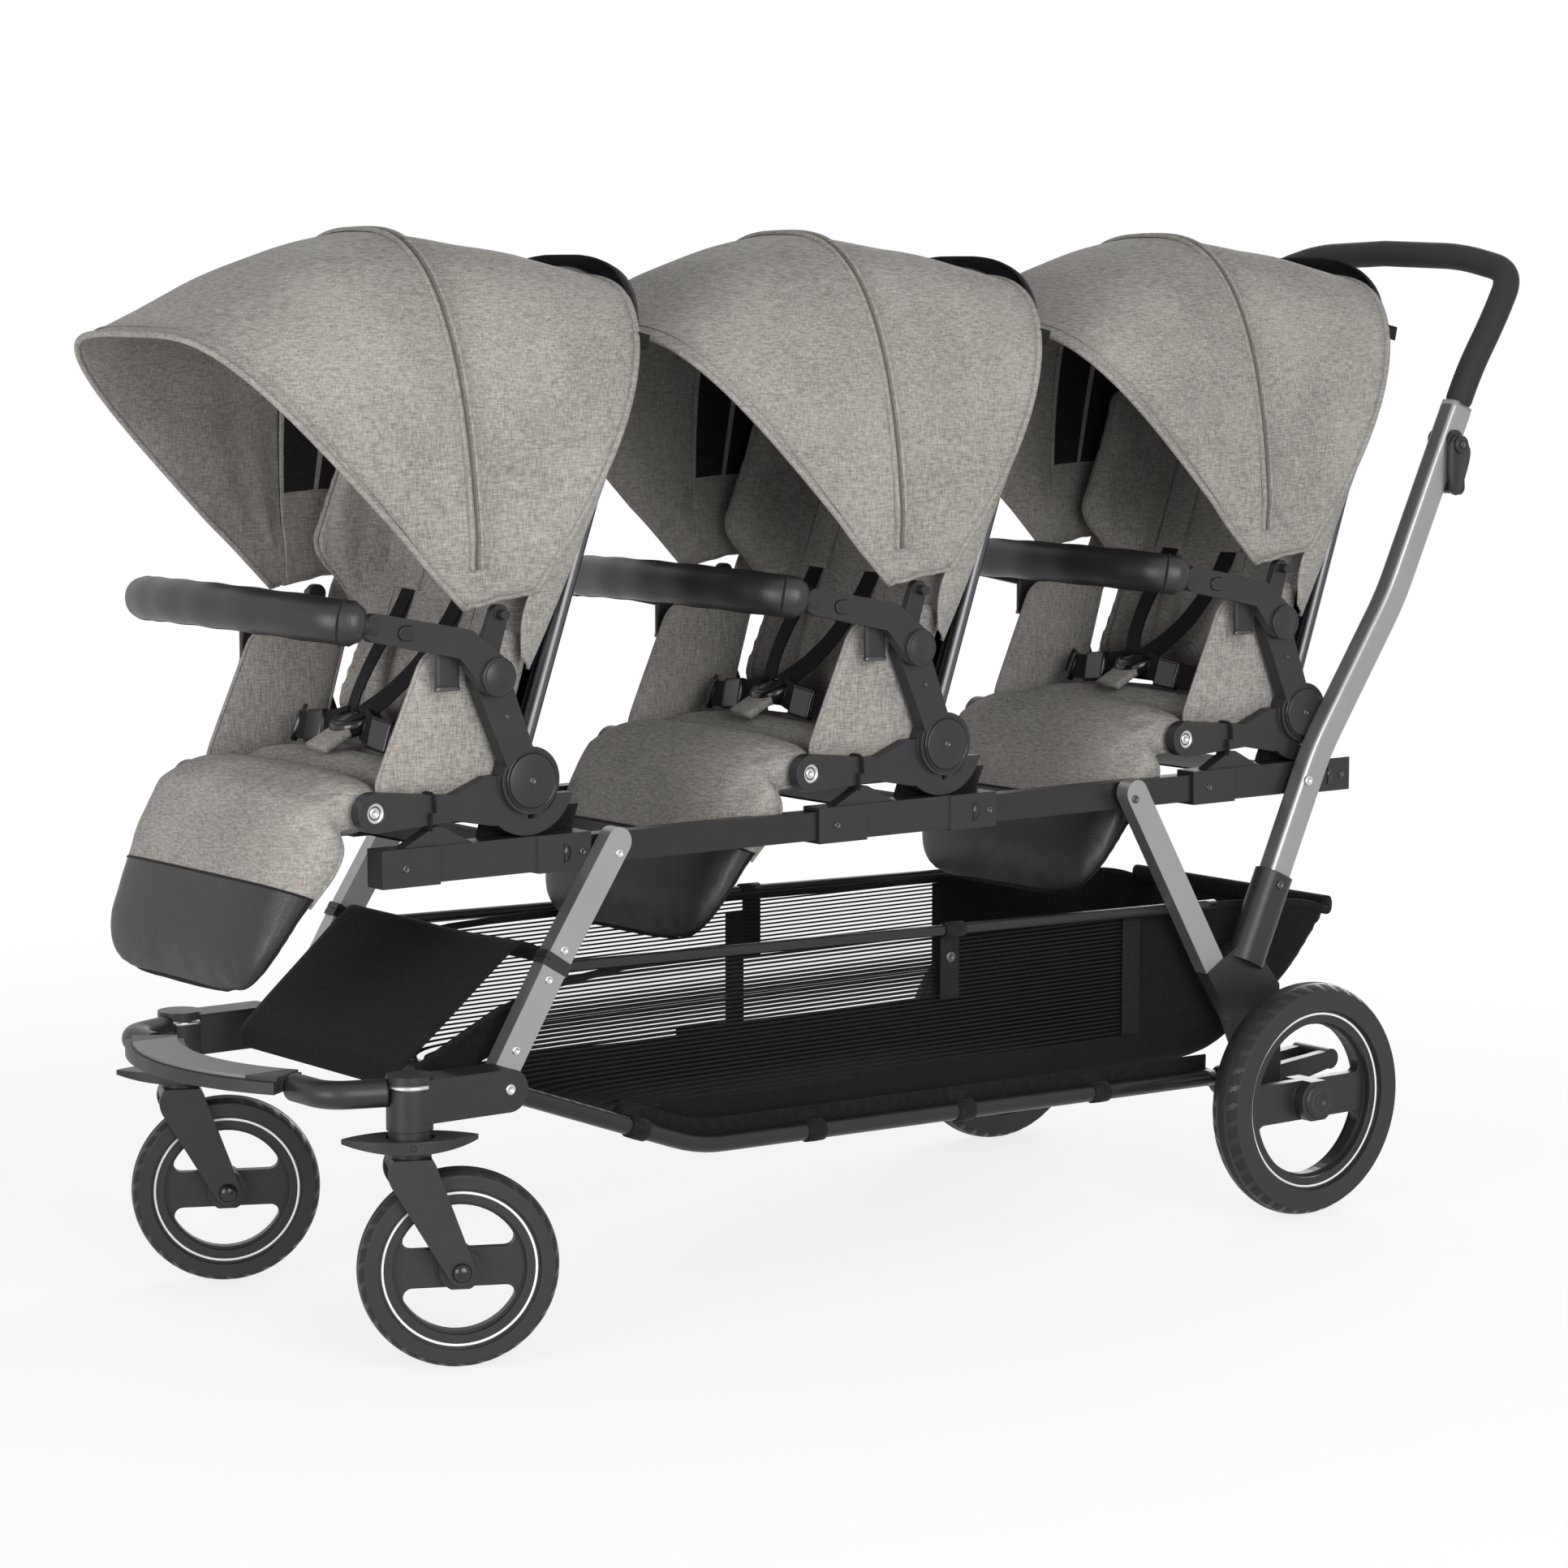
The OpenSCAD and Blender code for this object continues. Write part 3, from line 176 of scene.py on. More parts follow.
def bumpFrom(t, p, height, distance, soft=False):
    # the pattern's height as bump; where soft, sharp edges catch the light as if broken by a small radius
    b = put(t, "ShaderNodeBump", {"Height": height, "Distance": distance, "Strength": 0.6})
    if soft:
        feed(t, b, {"Normal": put(t, "ShaderNodeBevel", {"Radius": 0.0014}, samples=4).outputs[0]})
    feed(t, p, {"Normal": b.outputs[0]})


yarnScale, clothShine = 760.0, 0.15


def clothMaterial(name, dark, light, scale=yarnScale, rough=0.92, sheen=0.12):
    # heather of two yarns with a little sheen
    m, t, p, at = baseMaterial(name)
    g = pattern(t, heather, Vector=at, Dark=(*dark, 1), Light=(*light, 1), Scale=scale)
    feed(t, p, {"Base Color": g["Color"], "Roughness": rough, "Sheen Weight": sheen, "Specular IOR Level": clothShine})
    bumpFrom(t, p, g["Height"], 0.0006)
    return m


def hardMaterial(name, colour, rough, scale=900.0, bump=0.00008, spread=0.1, metallic=0.0, shine=0.28):
    # colour and roughness spread about their values with the mask of the grain
    m, t, p, at = baseMaterial(name)
    g = pattern(t, grain, Vector=at, Scale=scale)
    feed(t, p, {"Base Color": mixed(t, g["Mask"], *shades(colour, 1 - spread, 1 + spread)),
                "Roughness": mapped(t, g["Mask"], toLo=rough - 0.07, toHi=rough + 0.07),
                "Metallic": metallic, "Specular IOR Level": shine})
    bumpFrom(t, p, g["Height"], bump, True)
    return m


def tubeMaterial(name, colour, rough, stretch):
    # roughness follows the streaks, colour a broad noise
    m, t, p, at = baseMaterial(name)
    g = pattern(t, brushed, Vector=at, Stretch=stretch)
    feed(t, p, {"Base Color": mixed(t, g["Broad"], *shades(colour, 0.92, 1.06)), "Metallic": 0.85,
                "Roughness": mapped(t, g["Streak"], toLo=rough - 0.1, toHi=rough + 0.1)})
    bumpFrom(t, p, g["Streak"], 0.00006)
    return m


def treadMaterial(name, padZ, endY, edge=0.0004):
    # grey pad above the lip height and between the two end sockets, black elsewhere
    m, t, p, at = baseMaterial(name)
    g = pattern(t, grain, Vector=at, Scale=500.0)
    xyz = put(t, "ShaderNodeSeparateXYZ", {0: at}).outputs
    high = mapped(t, xyz[2], padZ - edge, padZ + edge)
    inner = mapped(t, maths(t, "ABSOLUTE", xyz[1]), endY - edge, endY + edge, 1.0, 0.0)
    worn = mixed(t, g["Mask"], (0.16, 0.16, 0.162, 1), (0.23, 0.23, 0.232, 1))
    feed(t, p, {"Base Color": mixed(t, maths(t, "MULTIPLY", high, inner), (0.016, 0.016, 0.0165, 1), worn),
                "Roughness": mapped(t, g["Mask"], toLo=0.42, toHi=0.6)})
    bumpFrom(t, p, g["Height"], 0.0002)
    return m


def meshMaterial(name, colour, pitch, thread, least, edge=0.15):
    # threads that run along the basket: alpha is full on each thread and low between
    m, t, p, at = baseMaterial(name)
    xyz = put(t, "ShaderNodeSeparateXYZ", {0: at}).outputs
    run = maths(t, "SUBTRACT", xyz[2], maths(t, "ABSOLUTE", xyz[1]))
    wave = maths(t, "SINE", maths(t, "MULTIPLY", run, 2 * math.pi / pitch))
    feed(t, p, {"Base Color": (*colour, 1), "Specular IOR Level": clothShine,
                "Roughness": mapped(t, noise(t, at, 60.0), toLo=0.6, toHi=0.85),
                "Alpha": mapped(t, wave, thread - edge, thread + edge, least)})
    return m


taupeDark, taupeLight = (0.165, 0.154, 0.141), (0.38, 0.358, 0.33)
leatherBlack, leatherScale = (0.011, 0.011, 0.0112), 700.0
taupe = clothMaterial("taupeCloth", taupeDark, taupeLight)
lining = clothMaterial("canopyLining", (0.16, 0.149, 0.137), (0.33, 0.311, 0.287))
binding = clothMaterial("taupeBinding", (0.165, 0.153, 0.14), (0.34, 0.32, 0.295), 700.0)
zipCoil = clothMaterial("zipCoil", (0.09, 0.08, 0.07), (0.15, 0.137, 0.12), 1400.0, 0.6, 0.0)
blackCloth = clothMaterial("blackCloth", (0.004, 0.004, 0.0045), (0.012, 0.012, 0.0125), 600.0, 0.85, 0.03)
webbing = clothMaterial("webbing", (0.005, 0.005, 0.0055), (0.014, 0.014, 0.0145), 1100.0, 0.75, 0.03)
leather = hardMaterial("blackLeathercloth", leatherBlack, 0.42, leatherScale, 0.00025, shine=0.5)
plastic = hardMaterial("blackPlastic", (0.018, 0.018, 0.0185), 0.4, shine=0.36)
gloss = hardMaterial("glossBlack", (0.008, 0.008, 0.008), 0.2, 300.0, 0.00002, shine=0.5)
paint = hardMaterial("blackPaint", (0.01, 0.01, 0.0105), 0.34, 1400.0, 0.00004, shine=0.4)
rubber = hardMaterial("tyreRubber", (0.014, 0.014, 0.014), 0.66, 500.0, 0.0002)
foam = hardMaterial("gripFoam", (0.02, 0.02, 0.0205), 0.7, 800.0, 0.0004)
stripe = hardMaterial("whiteStripe", (0.86, 0.86, 0.85), 0.5)
bright = hardMaterial("brightSteel", (0.6, 0.6, 0.6), 0.25, 600.0, 0.00003, 0.05, 1.0)
darkSteel = hardMaterial("darkSteel", (0.10, 0.10, 0.105), 0.35, 600.0, 0.00003, 0.05, 1.0)
alu = tubeMaterial("brushedAluminium", (0.34, 0.34, 0.345), 0.36, (60.0, 900.0, 60.0))
netting = meshMaterial("basketNet", (0.008, 0.008, 0.0085), 0.0046, 0.05, 0.06)
denseNet = clothMaterial("denseNet", (0.003, 0.003, 0.0032), (0.009, 0.009, 0.0095), 900.0, 0.85, 0.02)
innerNet = clothMaterial("canopyNet", (0.008, 0.0078, 0.0075), (0.022, 0.021, 0.02), 1200.0, 0.9, 0.05)
treadPad = treadMaterial("treadPad", 0.2848, 0.112)


def pouchMaterial(name, seamX, seamZ, slope, edge=0.0005):
    # heathered cloth above a seam plane that falls to the rear, leathercloth below it
    m, t, p, at = baseMaterial(name)
    g = pattern(t, heather, Vector=at, Dark=(*taupeDark, 1), Light=(*taupeLight, 1), Scale=yarnScale)
    k = pattern(t, grain, Vector=at, Scale=leatherScale)
    over = vectors(t, "SUBTRACT", at, (seamX, 0, seamZ))[0]
    mask = mapped(t, vectors(t, "DOT_PRODUCT", over, (-slope, 0, 1))["Value"], -edge, edge)
    feed(t, p, {"Base Color": mixed(t, mask, (*leatherBlack, 1), g["Color"]),
                "Roughness": mapped(t, mask, toLo=0.46, toHi=0.92)})
    bumpFrom(t, p, mixed(t, mask, k["Height"], g["Height"]), 0.0004)
    return m


print("materials done")


# mesh helpers; points are in millimetres

def unit(v):
    # each vector divided by its length
    return v / np.maximum(np.linalg.norm(v, axis=-1, keepdims=True), 1e-9)


def ramp(x, lo, hi):
    # smooth step, 3 t^2 - 2 t^3, from 0 at lo to 1 at hi
    t = np.clip((x - lo) / (hi - lo), 0, 1)
    return t * t * (3 - 2 * t)


def lerp(a, b, t):
    # a + (b - a) t
    return np.asarray(a, float) + (np.asarray(b, float) - np.asarray(a, float)) * t


def superRing(count, power, a=1.0, b=1.0):
    # x = a |cos|^(2/power), y = b |sin|^(2/power), with their signs
    w = np.linspace(0, 2 * np.pi, count, endpoint=False)
    c, s = np.cos(w), np.sin(w)
    return np.stack([a * np.sign(c) * np.abs(c) ** (2 / power), b * np.sign(s) * np.abs(s) ** (2 / power)], -1)


def spaced(curve, count):
    # the same curve at even steps of its length
    l = np.concatenate([[0], np.cumsum(np.linalg.norm(np.diff(curve, axis=0), axis=1))])
    w = np.linspace(0, l[-1], count)
    return np.stack([np.interp(w, l, curve[:, k]) for k in range(curve.shape[1])], -1)


def smoothed(points, times=3):
    # corner cutting: each leg is replaced by its quarter points, the ends stay
    p = np.asarray(points, float)
    for _ in range(times):
        q = np.stack([0.75 * p[:-1] + 0.25 * p[1:], 0.25 * p[:-1] + 0.75 * p[1:]], 1).reshape(-1, p.shape[1])
        p = np.concatenate([p[:1], q[1:-1], p[-1:]])
    return p


def through(points, count):
    # cubic curve that passes through every point, with its slope there set by the two neighbours
    q = np.asarray(points, float)
    p = np.concatenate([2 * q[:1] - q[1:2], q, 2 * q[-1:] - q[-2:-1]])
    t = np.linspace(0, len(q) - 1, count)
    i = np.minimum(t.astype(int), len(q) - 2)
    f = (t - i)[:, None]
    a, b, c, d = (p[i + k] for k in range(4))
    return b + 0.5 * f * (c - a + f * (2 * a - 5 * b + 4 * c - d + f * (3 * (b - c) + d - a)))


def sweep(path, profile, ref):
    # point = path + side * a + up * b, with side across ref and the path's direction
    t = unit(np.gradient(path, axis=0))
    side = unit(np.cross(np.broadcast_to(np.asarray(ref, float), t.shape), t))
    up = np.cross(t, side)
    prof = np.broadcast_to(profile, (len(path),) + profile.shape[-2:])
    return path[:, None] + side[:, None] * prof[..., :1] + up[:, None] * prof[..., 1:]


def addObject(name, mesh, body=None):
    # a mesh as an object that rides a body where one is given
    o = bpy.data.objects.new(name, mesh)
    scene.collection.objects.link(o)
    if body:
        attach(o, body)
    return o


def finishMesh(name, verts, faces, mats, faceMats=None, body=None, slot=None):
    # points and faces as a smooth mesh in metres, with a material index for each face
    mesh = bpy.data.meshes.new(name)
    mesh.from_pydata((np.asarray(verts) / 1000).tolist(), [], faces)
    for m in mats:
        mesh.materials.append(m)
    if faceMats is not None:
        mesh.polygons.foreach_set("material_index", np.asarray(faceMats, np.int32))
    mesh.polygons.foreach_set("use_smooth", np.full(len(mesh.polygons), True))
    mesh.update()
    return addObject(name, mesh, body)


def quadsOf(m, n, wrapV):
    # the corners of every cell of an m by n grid, closed across where wrapV
    i = np.arange(m - 1)[:, None]
    j = np.arange(n if wrapV else n - 1)[None, :]
    k = (j + 1) % n
    return np.stack([i * n + j, i * n + k, (i + 1) * n + k, (i + 1) * n + j], -1).reshape(-1, 4)


def turnedOut(verts, faces):
    # signed volume of the fans tells whether a closed shape points inwards
    tri = np.array([(f[0], f[k], f[k + 1]) for f in faces for k in range(1, len(f) - 1)])
    a, b, c = (verts[tri[:, k]] for k in range(3))
    if np.einsum("ij,ij->i", a, np.cross(b, c)).sum() < 0:
        return [f[::-1] for f in faces]
    return faces


def tubeGeometry(rings):
    # rings joined along the path, with a fan of triangles from the middle of each end
    m, n = rings.shape[:2]
    verts = np.concatenate([rings.reshape(-1, 3), rings[0].mean(0)[None], rings[-1].mean(0)[None]])
    faces = quadsOf(m, n, True).tolist()
    j = np.arange(n)
    k = (j + 1) % n
    faces += np.stack([np.full(n, m * n), k, j], -1).tolist()
    faces += np.stack([np.full(n, m * n + 1), (m - 1) * n + j, (m - 1) * n + k], -1).tolist()
    return verts, turnedOut(verts, faces)


def closedRing(ring, centre):
    # a grid that closes both ways, turned out from its own middle
    m, n = ring.shape[:2]
    i, j = np.arange(m)[:, None], np.arange(n)[None]
    a, b = (i + 1) % m, (j + 1) % n
    faces = np.stack([i * n + j, i * n + b, a * n + b, a * n + j], -1).reshape(-1, 4).tolist()
    verts = ring.reshape(-1, 3)
    return verts, turnedOut(verts - np.asarray(centre, float), faces)


def sheetGeometry(pts, thick, out=1):
    # an open grid and its copy moved inwards by the thickness, joined round the rim
    m, n = pts.shape[:2]
    nrm = unit(np.cross(np.gradient(pts, axis=0), np.gradient(pts, axis=1))) * out
    ring = np.concatenate([pts, (pts - nrm * thick)[:, ::-1]], 1)
    quads = quadsOf(m, 2 * n, True)
    kinds = np.tile(np.where(np.arange(2 * n) < n - 1, 0, 1), m - 1)
    j = np.arange(n - 1)
    e = (m - 1) * 2 * n
    caps = np.stack([j, 2 * n - 1 - j, 2 * n - 2 - j, j + 1], -1)
    faces = quads.tolist() + caps.tolist() + (caps[:, ::-1] + e).tolist()
    verts = ring.reshape(-1, 3)
    return verts, turnedOut(verts, faces), np.concatenate([kinds, np.ones(2 * (n - 1), int)])


def spun(profile, centre, axis, count=40):
    # a profile of (radius, height) carried round an axis
    axis = unit(np.asarray(axis, float))
    helper = np.array([0, 0, 1.0]) if abs(axis[2]) < 0.9 else np.array([1.0, 0, 0])
    e1 = unit(np.cross(helper, axis))
    e2 = np.cross(axis, e1)
    w = np.linspace(0, 2 * np.pi, count, endpoint=False)
    around = np.cos(w)[:, None] * e1 + np.sin(w)[:, None] * e2
    p = np.asarray(profile, float)
    return np.asarray(centre, float) + p[:, None, :1] * around[None] + p[:, None, 1:] * axis


def boltProfile(r, h, socket=0.45):
    # low domed head with a round socket in its middle
    return [(r, 0), (r, h * 0.6), (r * 0.86, h), (r * socket, h), (r * socket * 0.9, h * 0.35), (0.01, h * 0.35)]


seats = {"front": 537.0, "middle": 0.0, "rear": -537.0}
hubZ = 563.0
lean = math.radians(19)


def atHub(p, hx):
    # from a seat's hub to the frame
    return np.asarray(p, float) + np.array([hx, 0, hubZ])


# parts are (points, faces, material index) and are joined into one piece

def part(rings, kind=0, hx=None):
    # a closed tube, at a seat's hub where one is given
    return (*tubeGeometry(rings if hx is None else atHub(rings, hx)), kind)


def cord(path, r, ref, kind=0, hx=None, count=10):
    # a round section along a path
    return part(sweep(path, superRing(count, 2, r, r), ref), kind, hx)


def hoop(profile, centre, axis, count, kind=0):
    # a closed profile carried round an axis, with no ends to cap
    return (*closedRing(spun(profile, centre, axis, count), centre), kind)


def bolt(r, h, centre, axis, count, kind=0, hx=None, socket=0.45):
    # a bolt head turned round its axis
    return part(spun(boltProfile(r, h, socket), centre, axis, count), kind, hx)


def assemble(name, parts, mats, body=None, slot=None):
    # the parts as one mesh, faces counted on from part to part
    verts, faces, kinds, base = [], [], [], 0
    for v, f, k in parts:
        verts.append(v)
        faces += [[q + base for q in face] for face in f]
        kinds += list(np.broadcast_to(k, len(f)))
        base += len(v)
    return finishMesh(name, np.concatenate(verts), faces, mats, kinds, body, slot)


# soft forms

def laidOn(mesh, points, out, lift=0.5, reach=0.06):
    # seam points dropped from outside onto a soft form at the middle seat, then lifted off it
    tree = BVHTree.FromPolygons([v.co[:] for v in mesh.vertices], [q.vertices[:] for q in mesh.polygons])
    out = np.broadcast_to(unit(np.asarray(out, float)), points.shape)
    laid = []
    for a, d in zip(atHub(points, 0) / 1000, out):
        hit = tree.ray_cast(Vector(a + d * reach), Vector(-d), 2 * reach)[0]
        laid.append(np.array(hit) if hit else a)
    return np.array(laid) * 1000 + out * lift - atHub((0, 0, 0), 0)


def pointsOf(mesh):
    # a mesh's points in metres, one to a row
    co = np.empty(len(mesh.vertices) * 3)
    mesh.vertices.foreach_get("co", co)
    return co.reshape(-1, 3)


def setPoints(mesh, points):
    # the points put back, in metres
    mesh.vertices.foreach_set("co", points.ravel())
    mesh.update()


def swell(o, voxel, pressure, cap, frames=20):
    # remeshed, blown up by cloth pressure, and held within the cap of its first shape
    bpy.context.view_layer.objects.active = o
    o.data.remesh_voxel_size = voxel
    for k in bpy.context.selected_objects:
        k.select_set(False)
    o.select_set(True)
    bpy.ops.object.voxel_remesh()
    first = pointsOf(o.data)
    mod = o.modifiers.new("swell", "CLOTH")
    mod.settings.use_pressure = True
    mod.settings.uniform_pressure_force = pressure
    mod.settings.effector_weights.gravity = 0
    mod.settings.quality = 4
    mod.point_cache.frame_end = frames
    for f in range(1, frames + 1):
        scene.frame_set(f)
    move = pointsOf(o.evaluated_get(bpy.context.evaluated_depsgraph_get()).data) - first
    o.modifiers.remove(mod)
    scene.frame_set(1)
    far = np.linalg.norm(move, axis=1, keepdims=True)
    setPoints(o.data, first + move * np.minimum(1, cap / np.maximum(far, 1e-9)))


def softMesh(key, rings, voxel, pressure, cap):
    # a closed soft form, swollen once and then shared by the three seats
    o = finishMesh(key + "Source", *tubeGeometry(atHub(rings, 0)), [taupe])
    swell(o, voxel, pressure, cap)
    mesh = o.data
    mesh.polygons.foreach_set("use_smooth", np.full(len(mesh.polygons), True))
    bpy.data.objects.remove(o)
    print("soft form", key, len(mesh.polygons), "faces")
    return mesh


def copyOf(name, mesh, hx, body):
    # the same finished mesh moved to another seat and rounded once
    m = mesh.copy()
    m.name = name
    setPoints(m, pointsOf(m) + (hx / 1000, 0, 0))
    o = addObject(name, m, body)
    rounding = o.modifiers.new("rounding", "SUBSURF")
    rounding.levels = rounding.render_levels = 1
    return o


# canopy: three super-ellipse hoops, each as hem (x, z), crown (x, z) and power, with cloth between them
canopy = {"visor": ((74, 174), (340, 442), 4.2), "zip": ((58, 177), (76, 543), 2.8),
          "rear": ((-10, 187), (-160, 497), 4.2), "halfWidth": 187.0, "frontLift": 14.0, "rearLift": 6.0,
          "frontDip": 3.0, "rearDip": 2.5, "bulge": 28.0, "armRoom": 183.0, "frontRows": 36, "rearRows": 26, "cols": 90,
          "middle": (20, 0, 300.0), "cloth": 2.4, "bindingR": 3.4, "ribs": 3}


def hoopCurve(hem, top, power):
    # hem to hem over the crown: across = |cos|^(2/power), up = |sin|^(2/power), at even steps
    a = np.linspace(0, np.pi, 721)
    s = np.abs(np.sin(a)) ** (2 / power)
    y = canopy["halfWidth"] * np.sign(np.cos(a)) * np.abs(np.cos(a)) ** (2 / power)
    c = np.stack([hem[0] + (top[0] - hem[0]) * s, y, hem[1] + (top[1] - hem[1]) * s], -1)
    return spaced(c, canopy["cols"])


def panelGrid(first, last, lift, rows):
    # rows go from one hoop to the next; the crown is lifted most a little behind the middle
    (h0, t0, p0), (h1, t1, p1) = first, last
    v = np.linspace(0, 1, rows)
    rise = lift * np.sin(np.pi * v ** 1.25)
    return np.stack([hoopCurve(lerp(h0, h1, k), lerp(t0, t1, k) + (0, r), p0 + (p1 - p0) * k) for k, r in zip(v, rise)])


def slackCloth(g, amount):
    # the cloth dips between its hoops, ripples a little towards the hem, and has one fold above it
    v = np.linspace(0, 1, g.shape[0])[:, None]
    u = np.linspace(-1, 1, g.shape[1])[None, :]
    span, away = np.sin(np.pi * v), np.abs(u)
    dip = -amount * span * (0.35 + 0.65 * ramp(away, 0.1, 0.7))
    ripple = 1.1 * ramp(away, 0.55, 1.0) * span * np.sin(9 * v + 5 * u) + 0.7 * span * np.sin(5 * v * np.pi + 7 * u)
    fold = 3.0 * np.exp(-((away - 0.935) / 0.012) ** 2) - 2.0 * np.exp(-((away - 0.91) / 0.012) ** 2)
    return g + unit(g - np.array(canopy["middle"])) * (dip + ripple + fold * span ** 0.5)[..., None]


def canopyGrids():
    # the panel from visor to zip and the panel from zip to rear edge
    c = canopy
    front = slackCloth(panelGrid(c["visor"], c["zip"], c["frontLift"], c["frontRows"]), c["frontDip"])
    rear = slackCloth(panelGrid(c["zip"], c["rear"], c["rearLift"], c["rearRows"]), c["rearDip"])
    # the rear edge bows backwards between hem and crown
    (_, hem), (_, top), _ = c["rear"]
    v = np.linspace(0, 1, c["rearRows"])[:, None]
    rear[..., 0] -= c["bulge"] * np.sin(np.pi * np.clip((rear[..., 2] - hem) / (top - hem), 0, 1)) * v ** 1.5
    # the hem keeps inside the bar's arms, which pass it when the bar is lifted
    for g in (front, rear):
        room = c["armRoom"] + 8 * ramp(g[..., 2], 215, 275)
        g[..., 1] = np.clip(g[..., 1], -room, room)
    return front, rear


frontGrid, rearGrid = canopyGrids()


def boundEdges(grid, row, hx):
    # a round binding along one row, and a thinner one along both hems
    ring = superRing(12, 2, canopy["bindingR"], canopy["bindingR"])
    hems = [part(sweep(grid[:, e], ring * 0.7, (0, 1, 0)), 2, hx) for e in (0, -1)]
    return [part(sweep(grid[row], ring, (1, 0, 0.2)), 2, hx)] + hems


def makeCanopy(seat, hx):
    # both grids as sheets with bound edges, and a stitched line behind the visor's edge
    c = canopy
    seam = frontGrid[2] + unit(frontGrid[2] - np.array(c["middle"]))
    parts = [sheetGeometry(atHub(frontGrid, hx), c["cloth"])] + boundEdges(frontGrid, 0, hx)
    parts.append(cord(seam, 0.9, (1, 0, 0.2), 2, hx, 8))
    o = assemble(seat + "CanopyFront", parts, [taupe, lining, binding], slot="canopy_fabric")
    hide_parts(seat + "_seat_canopy_front")
    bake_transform(o)
    v, f, k = sheetGeometry(atHub(rearGrid, hx), c["cloth"])
    # black net shows inside between taupe ribs
    rows, cols = rearGrid.shape[:2]
    band = np.abs(np.sin(np.linspace(0, c["ribs"] * np.pi, rows - 1)))[:, None] > 0.3
    inside = np.abs(np.linspace(-1, 1, cols - 1))[None] < 0.8
    k[:(rows - 1) * 2 * cols].reshape(rows - 1, 2 * cols)[:, cols:-1][band & inside] = 3
    o = assemble(seat + "CanopyRear", [(v, f, k)] + boundEdges(rearGrid, -1, hx), [taupe, lining, binding, innerNet],
                 seat + "_seat", "canopy_fabric")
    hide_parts(seat + "_seat_canopy_rear")


# side flaps of the canopy, as the (x, z) of their rear and front edges, and a plain tag on the rear edge
flap = {"rear": [(-6, 110), (-34, 162), (-68, 229), (-98, 290), (-107, 322)],
        "front": [(8, 124), (4, 168), (-24, 222), (-66, 290), (-84, 318)], "frontY": 181.0, "rearY": 173.0,
        "cloth": 2.0, "edgeR": 2.2, "tagZ": 432.0, "tagTo": (-14, 1, -3), "tagHalf": (8, 0.9)}


def makeFlaps(seat, hx):
    # rows from the tip at the arm up behind the rear edge, columns from the canopy to the back tube
    (_, hem), (_, top), power = canopy["rear"]
    share = np.linspace(0, 1, 14)[None, :, None]
    side = lerp(through(flap["front"], 40)[:, None], through(flap["rear"], 40)[:, None], share)
    reach = np.clip((side[..., 1] - hem) / (top - hem), 0, 0.99)
    room = canopy["halfWidth"] * (1 - reach ** power) ** (1 / power) - 4
    y = np.minimum(lerp(flap["frontY"], flap["rearY"], share[..., 0]), room) + 2.0 * np.sin(np.pi * share[..., 0])
    parts = []
    for s in (1, -1):
        g = np.stack([side[..., 0], y * s, side[..., 1]], -1)
        parts += [(*sheetGeometry(atHub(g, hx), flap["cloth"], s)[:2], 0),
                  cord(g[:, -1], flap["edgeR"], (0, 1, 0), 1, hx)]
    o = assemble(seat + "CanopyFlaps", parts, [taupe, binding], seat + "_seat", "canopy_fabric")
    edge = rearGrid[-1][rearGrid[-1][:, 1] > 0]
    root = edge[np.argmin(np.abs(edge[:, 2] - flap["tagZ"]))]
    blank = sweep(np.linspace(root, root + flap["tagTo"], 6), superRing(12, 6, *flap["tagHalf"]), (0, 1, 0))
    assemble(seat + "CanopyTag", [part(blank, 0, hx)], [webbing], seat + "_seat", "webbing")


# zip along the middle hoop: a tape with two ridges, a dark coil, and two pulls at the crown
zipper = {"steps": 160, "endShare": 38.0 / 520, "middle": (60, 0, 300.0), "width": 17.0, "ridge": 5.4,
          "ridgeHalf": (2.4, 2.0)}


def makeZip(seat, hx):
    # flat sections swept along the hoop, each a little further out from the canopy's middle
    z = zipper
    line = spaced(rearGrid[0], z["steps"])[np.abs(np.linspace(-1, 1, z["steps"])) < 1 - z["endShare"]]
    out = unit(line - np.array(z["middle"]))
    across = unit(np.cross(out, np.gradient(line, axis=0)))
    parts = [part(sweep(line + out * 0.6, superRing(12, 5, z["width"] / 2, 0.8), out), 0, hx),
             part(sweep(line + out * 1.6, superRing(8, 2, 1.6, 1.0), out), 1, hx)]
    for s in (-1, 1):
        parts.append(part(sweep(line + out * 2.0 + across * s * z["ridge"], superRing(12, 2, *z["ridgeHalf"]), out),
                          0, hx))
    assemble(seat + "CanopyZip", parts, [binding, zipCoil], seat + "_seat", "canopy_fabric")
    top = line[len(line) // 2]
    pulls = [atHub(np.linspace(top + (2, s * 4, 2.5), top + (4, s * 26, 1.2), 8), hx) for s in (-1, 1)]
    assemble(seat + "ZipPulls", [part(sweep(p, superRing(12, 3, 3.4, 1.2), (0, 0, 1))) for p in pulls], [darkSteel],
             seat + "_seat", "button_plastic")


def leaned(p):
    # (depth, across, up the back) turned by the lean of the back
    x, y, s = p[..., 0], p[..., 1], p[..., 2]
    return np.stack([x * math.cos(lean) - s * math.sin(lean), y, x * math.sin(lean) + s * math.cos(lean)], -1)


# back pad with head wings: a ring round the pad at each height up the back
backPad = {"low": 9.5, "thick": 28.0, "halfWidth": 150.0, "start": 24.0, "end": 469.5, "roundFrom": 330.0,
           "roundR": 150.0, "wing": 84.0, "wingThick": 24.0, "wingStart": (120, 200), "wingEnd": (330, 419.5),
           "swell": (0.006, 4.0, 0.006), "lineY": 78.0, "lineUp": (40, 330), "pipeR": 2.0, "lineR": 1.2}


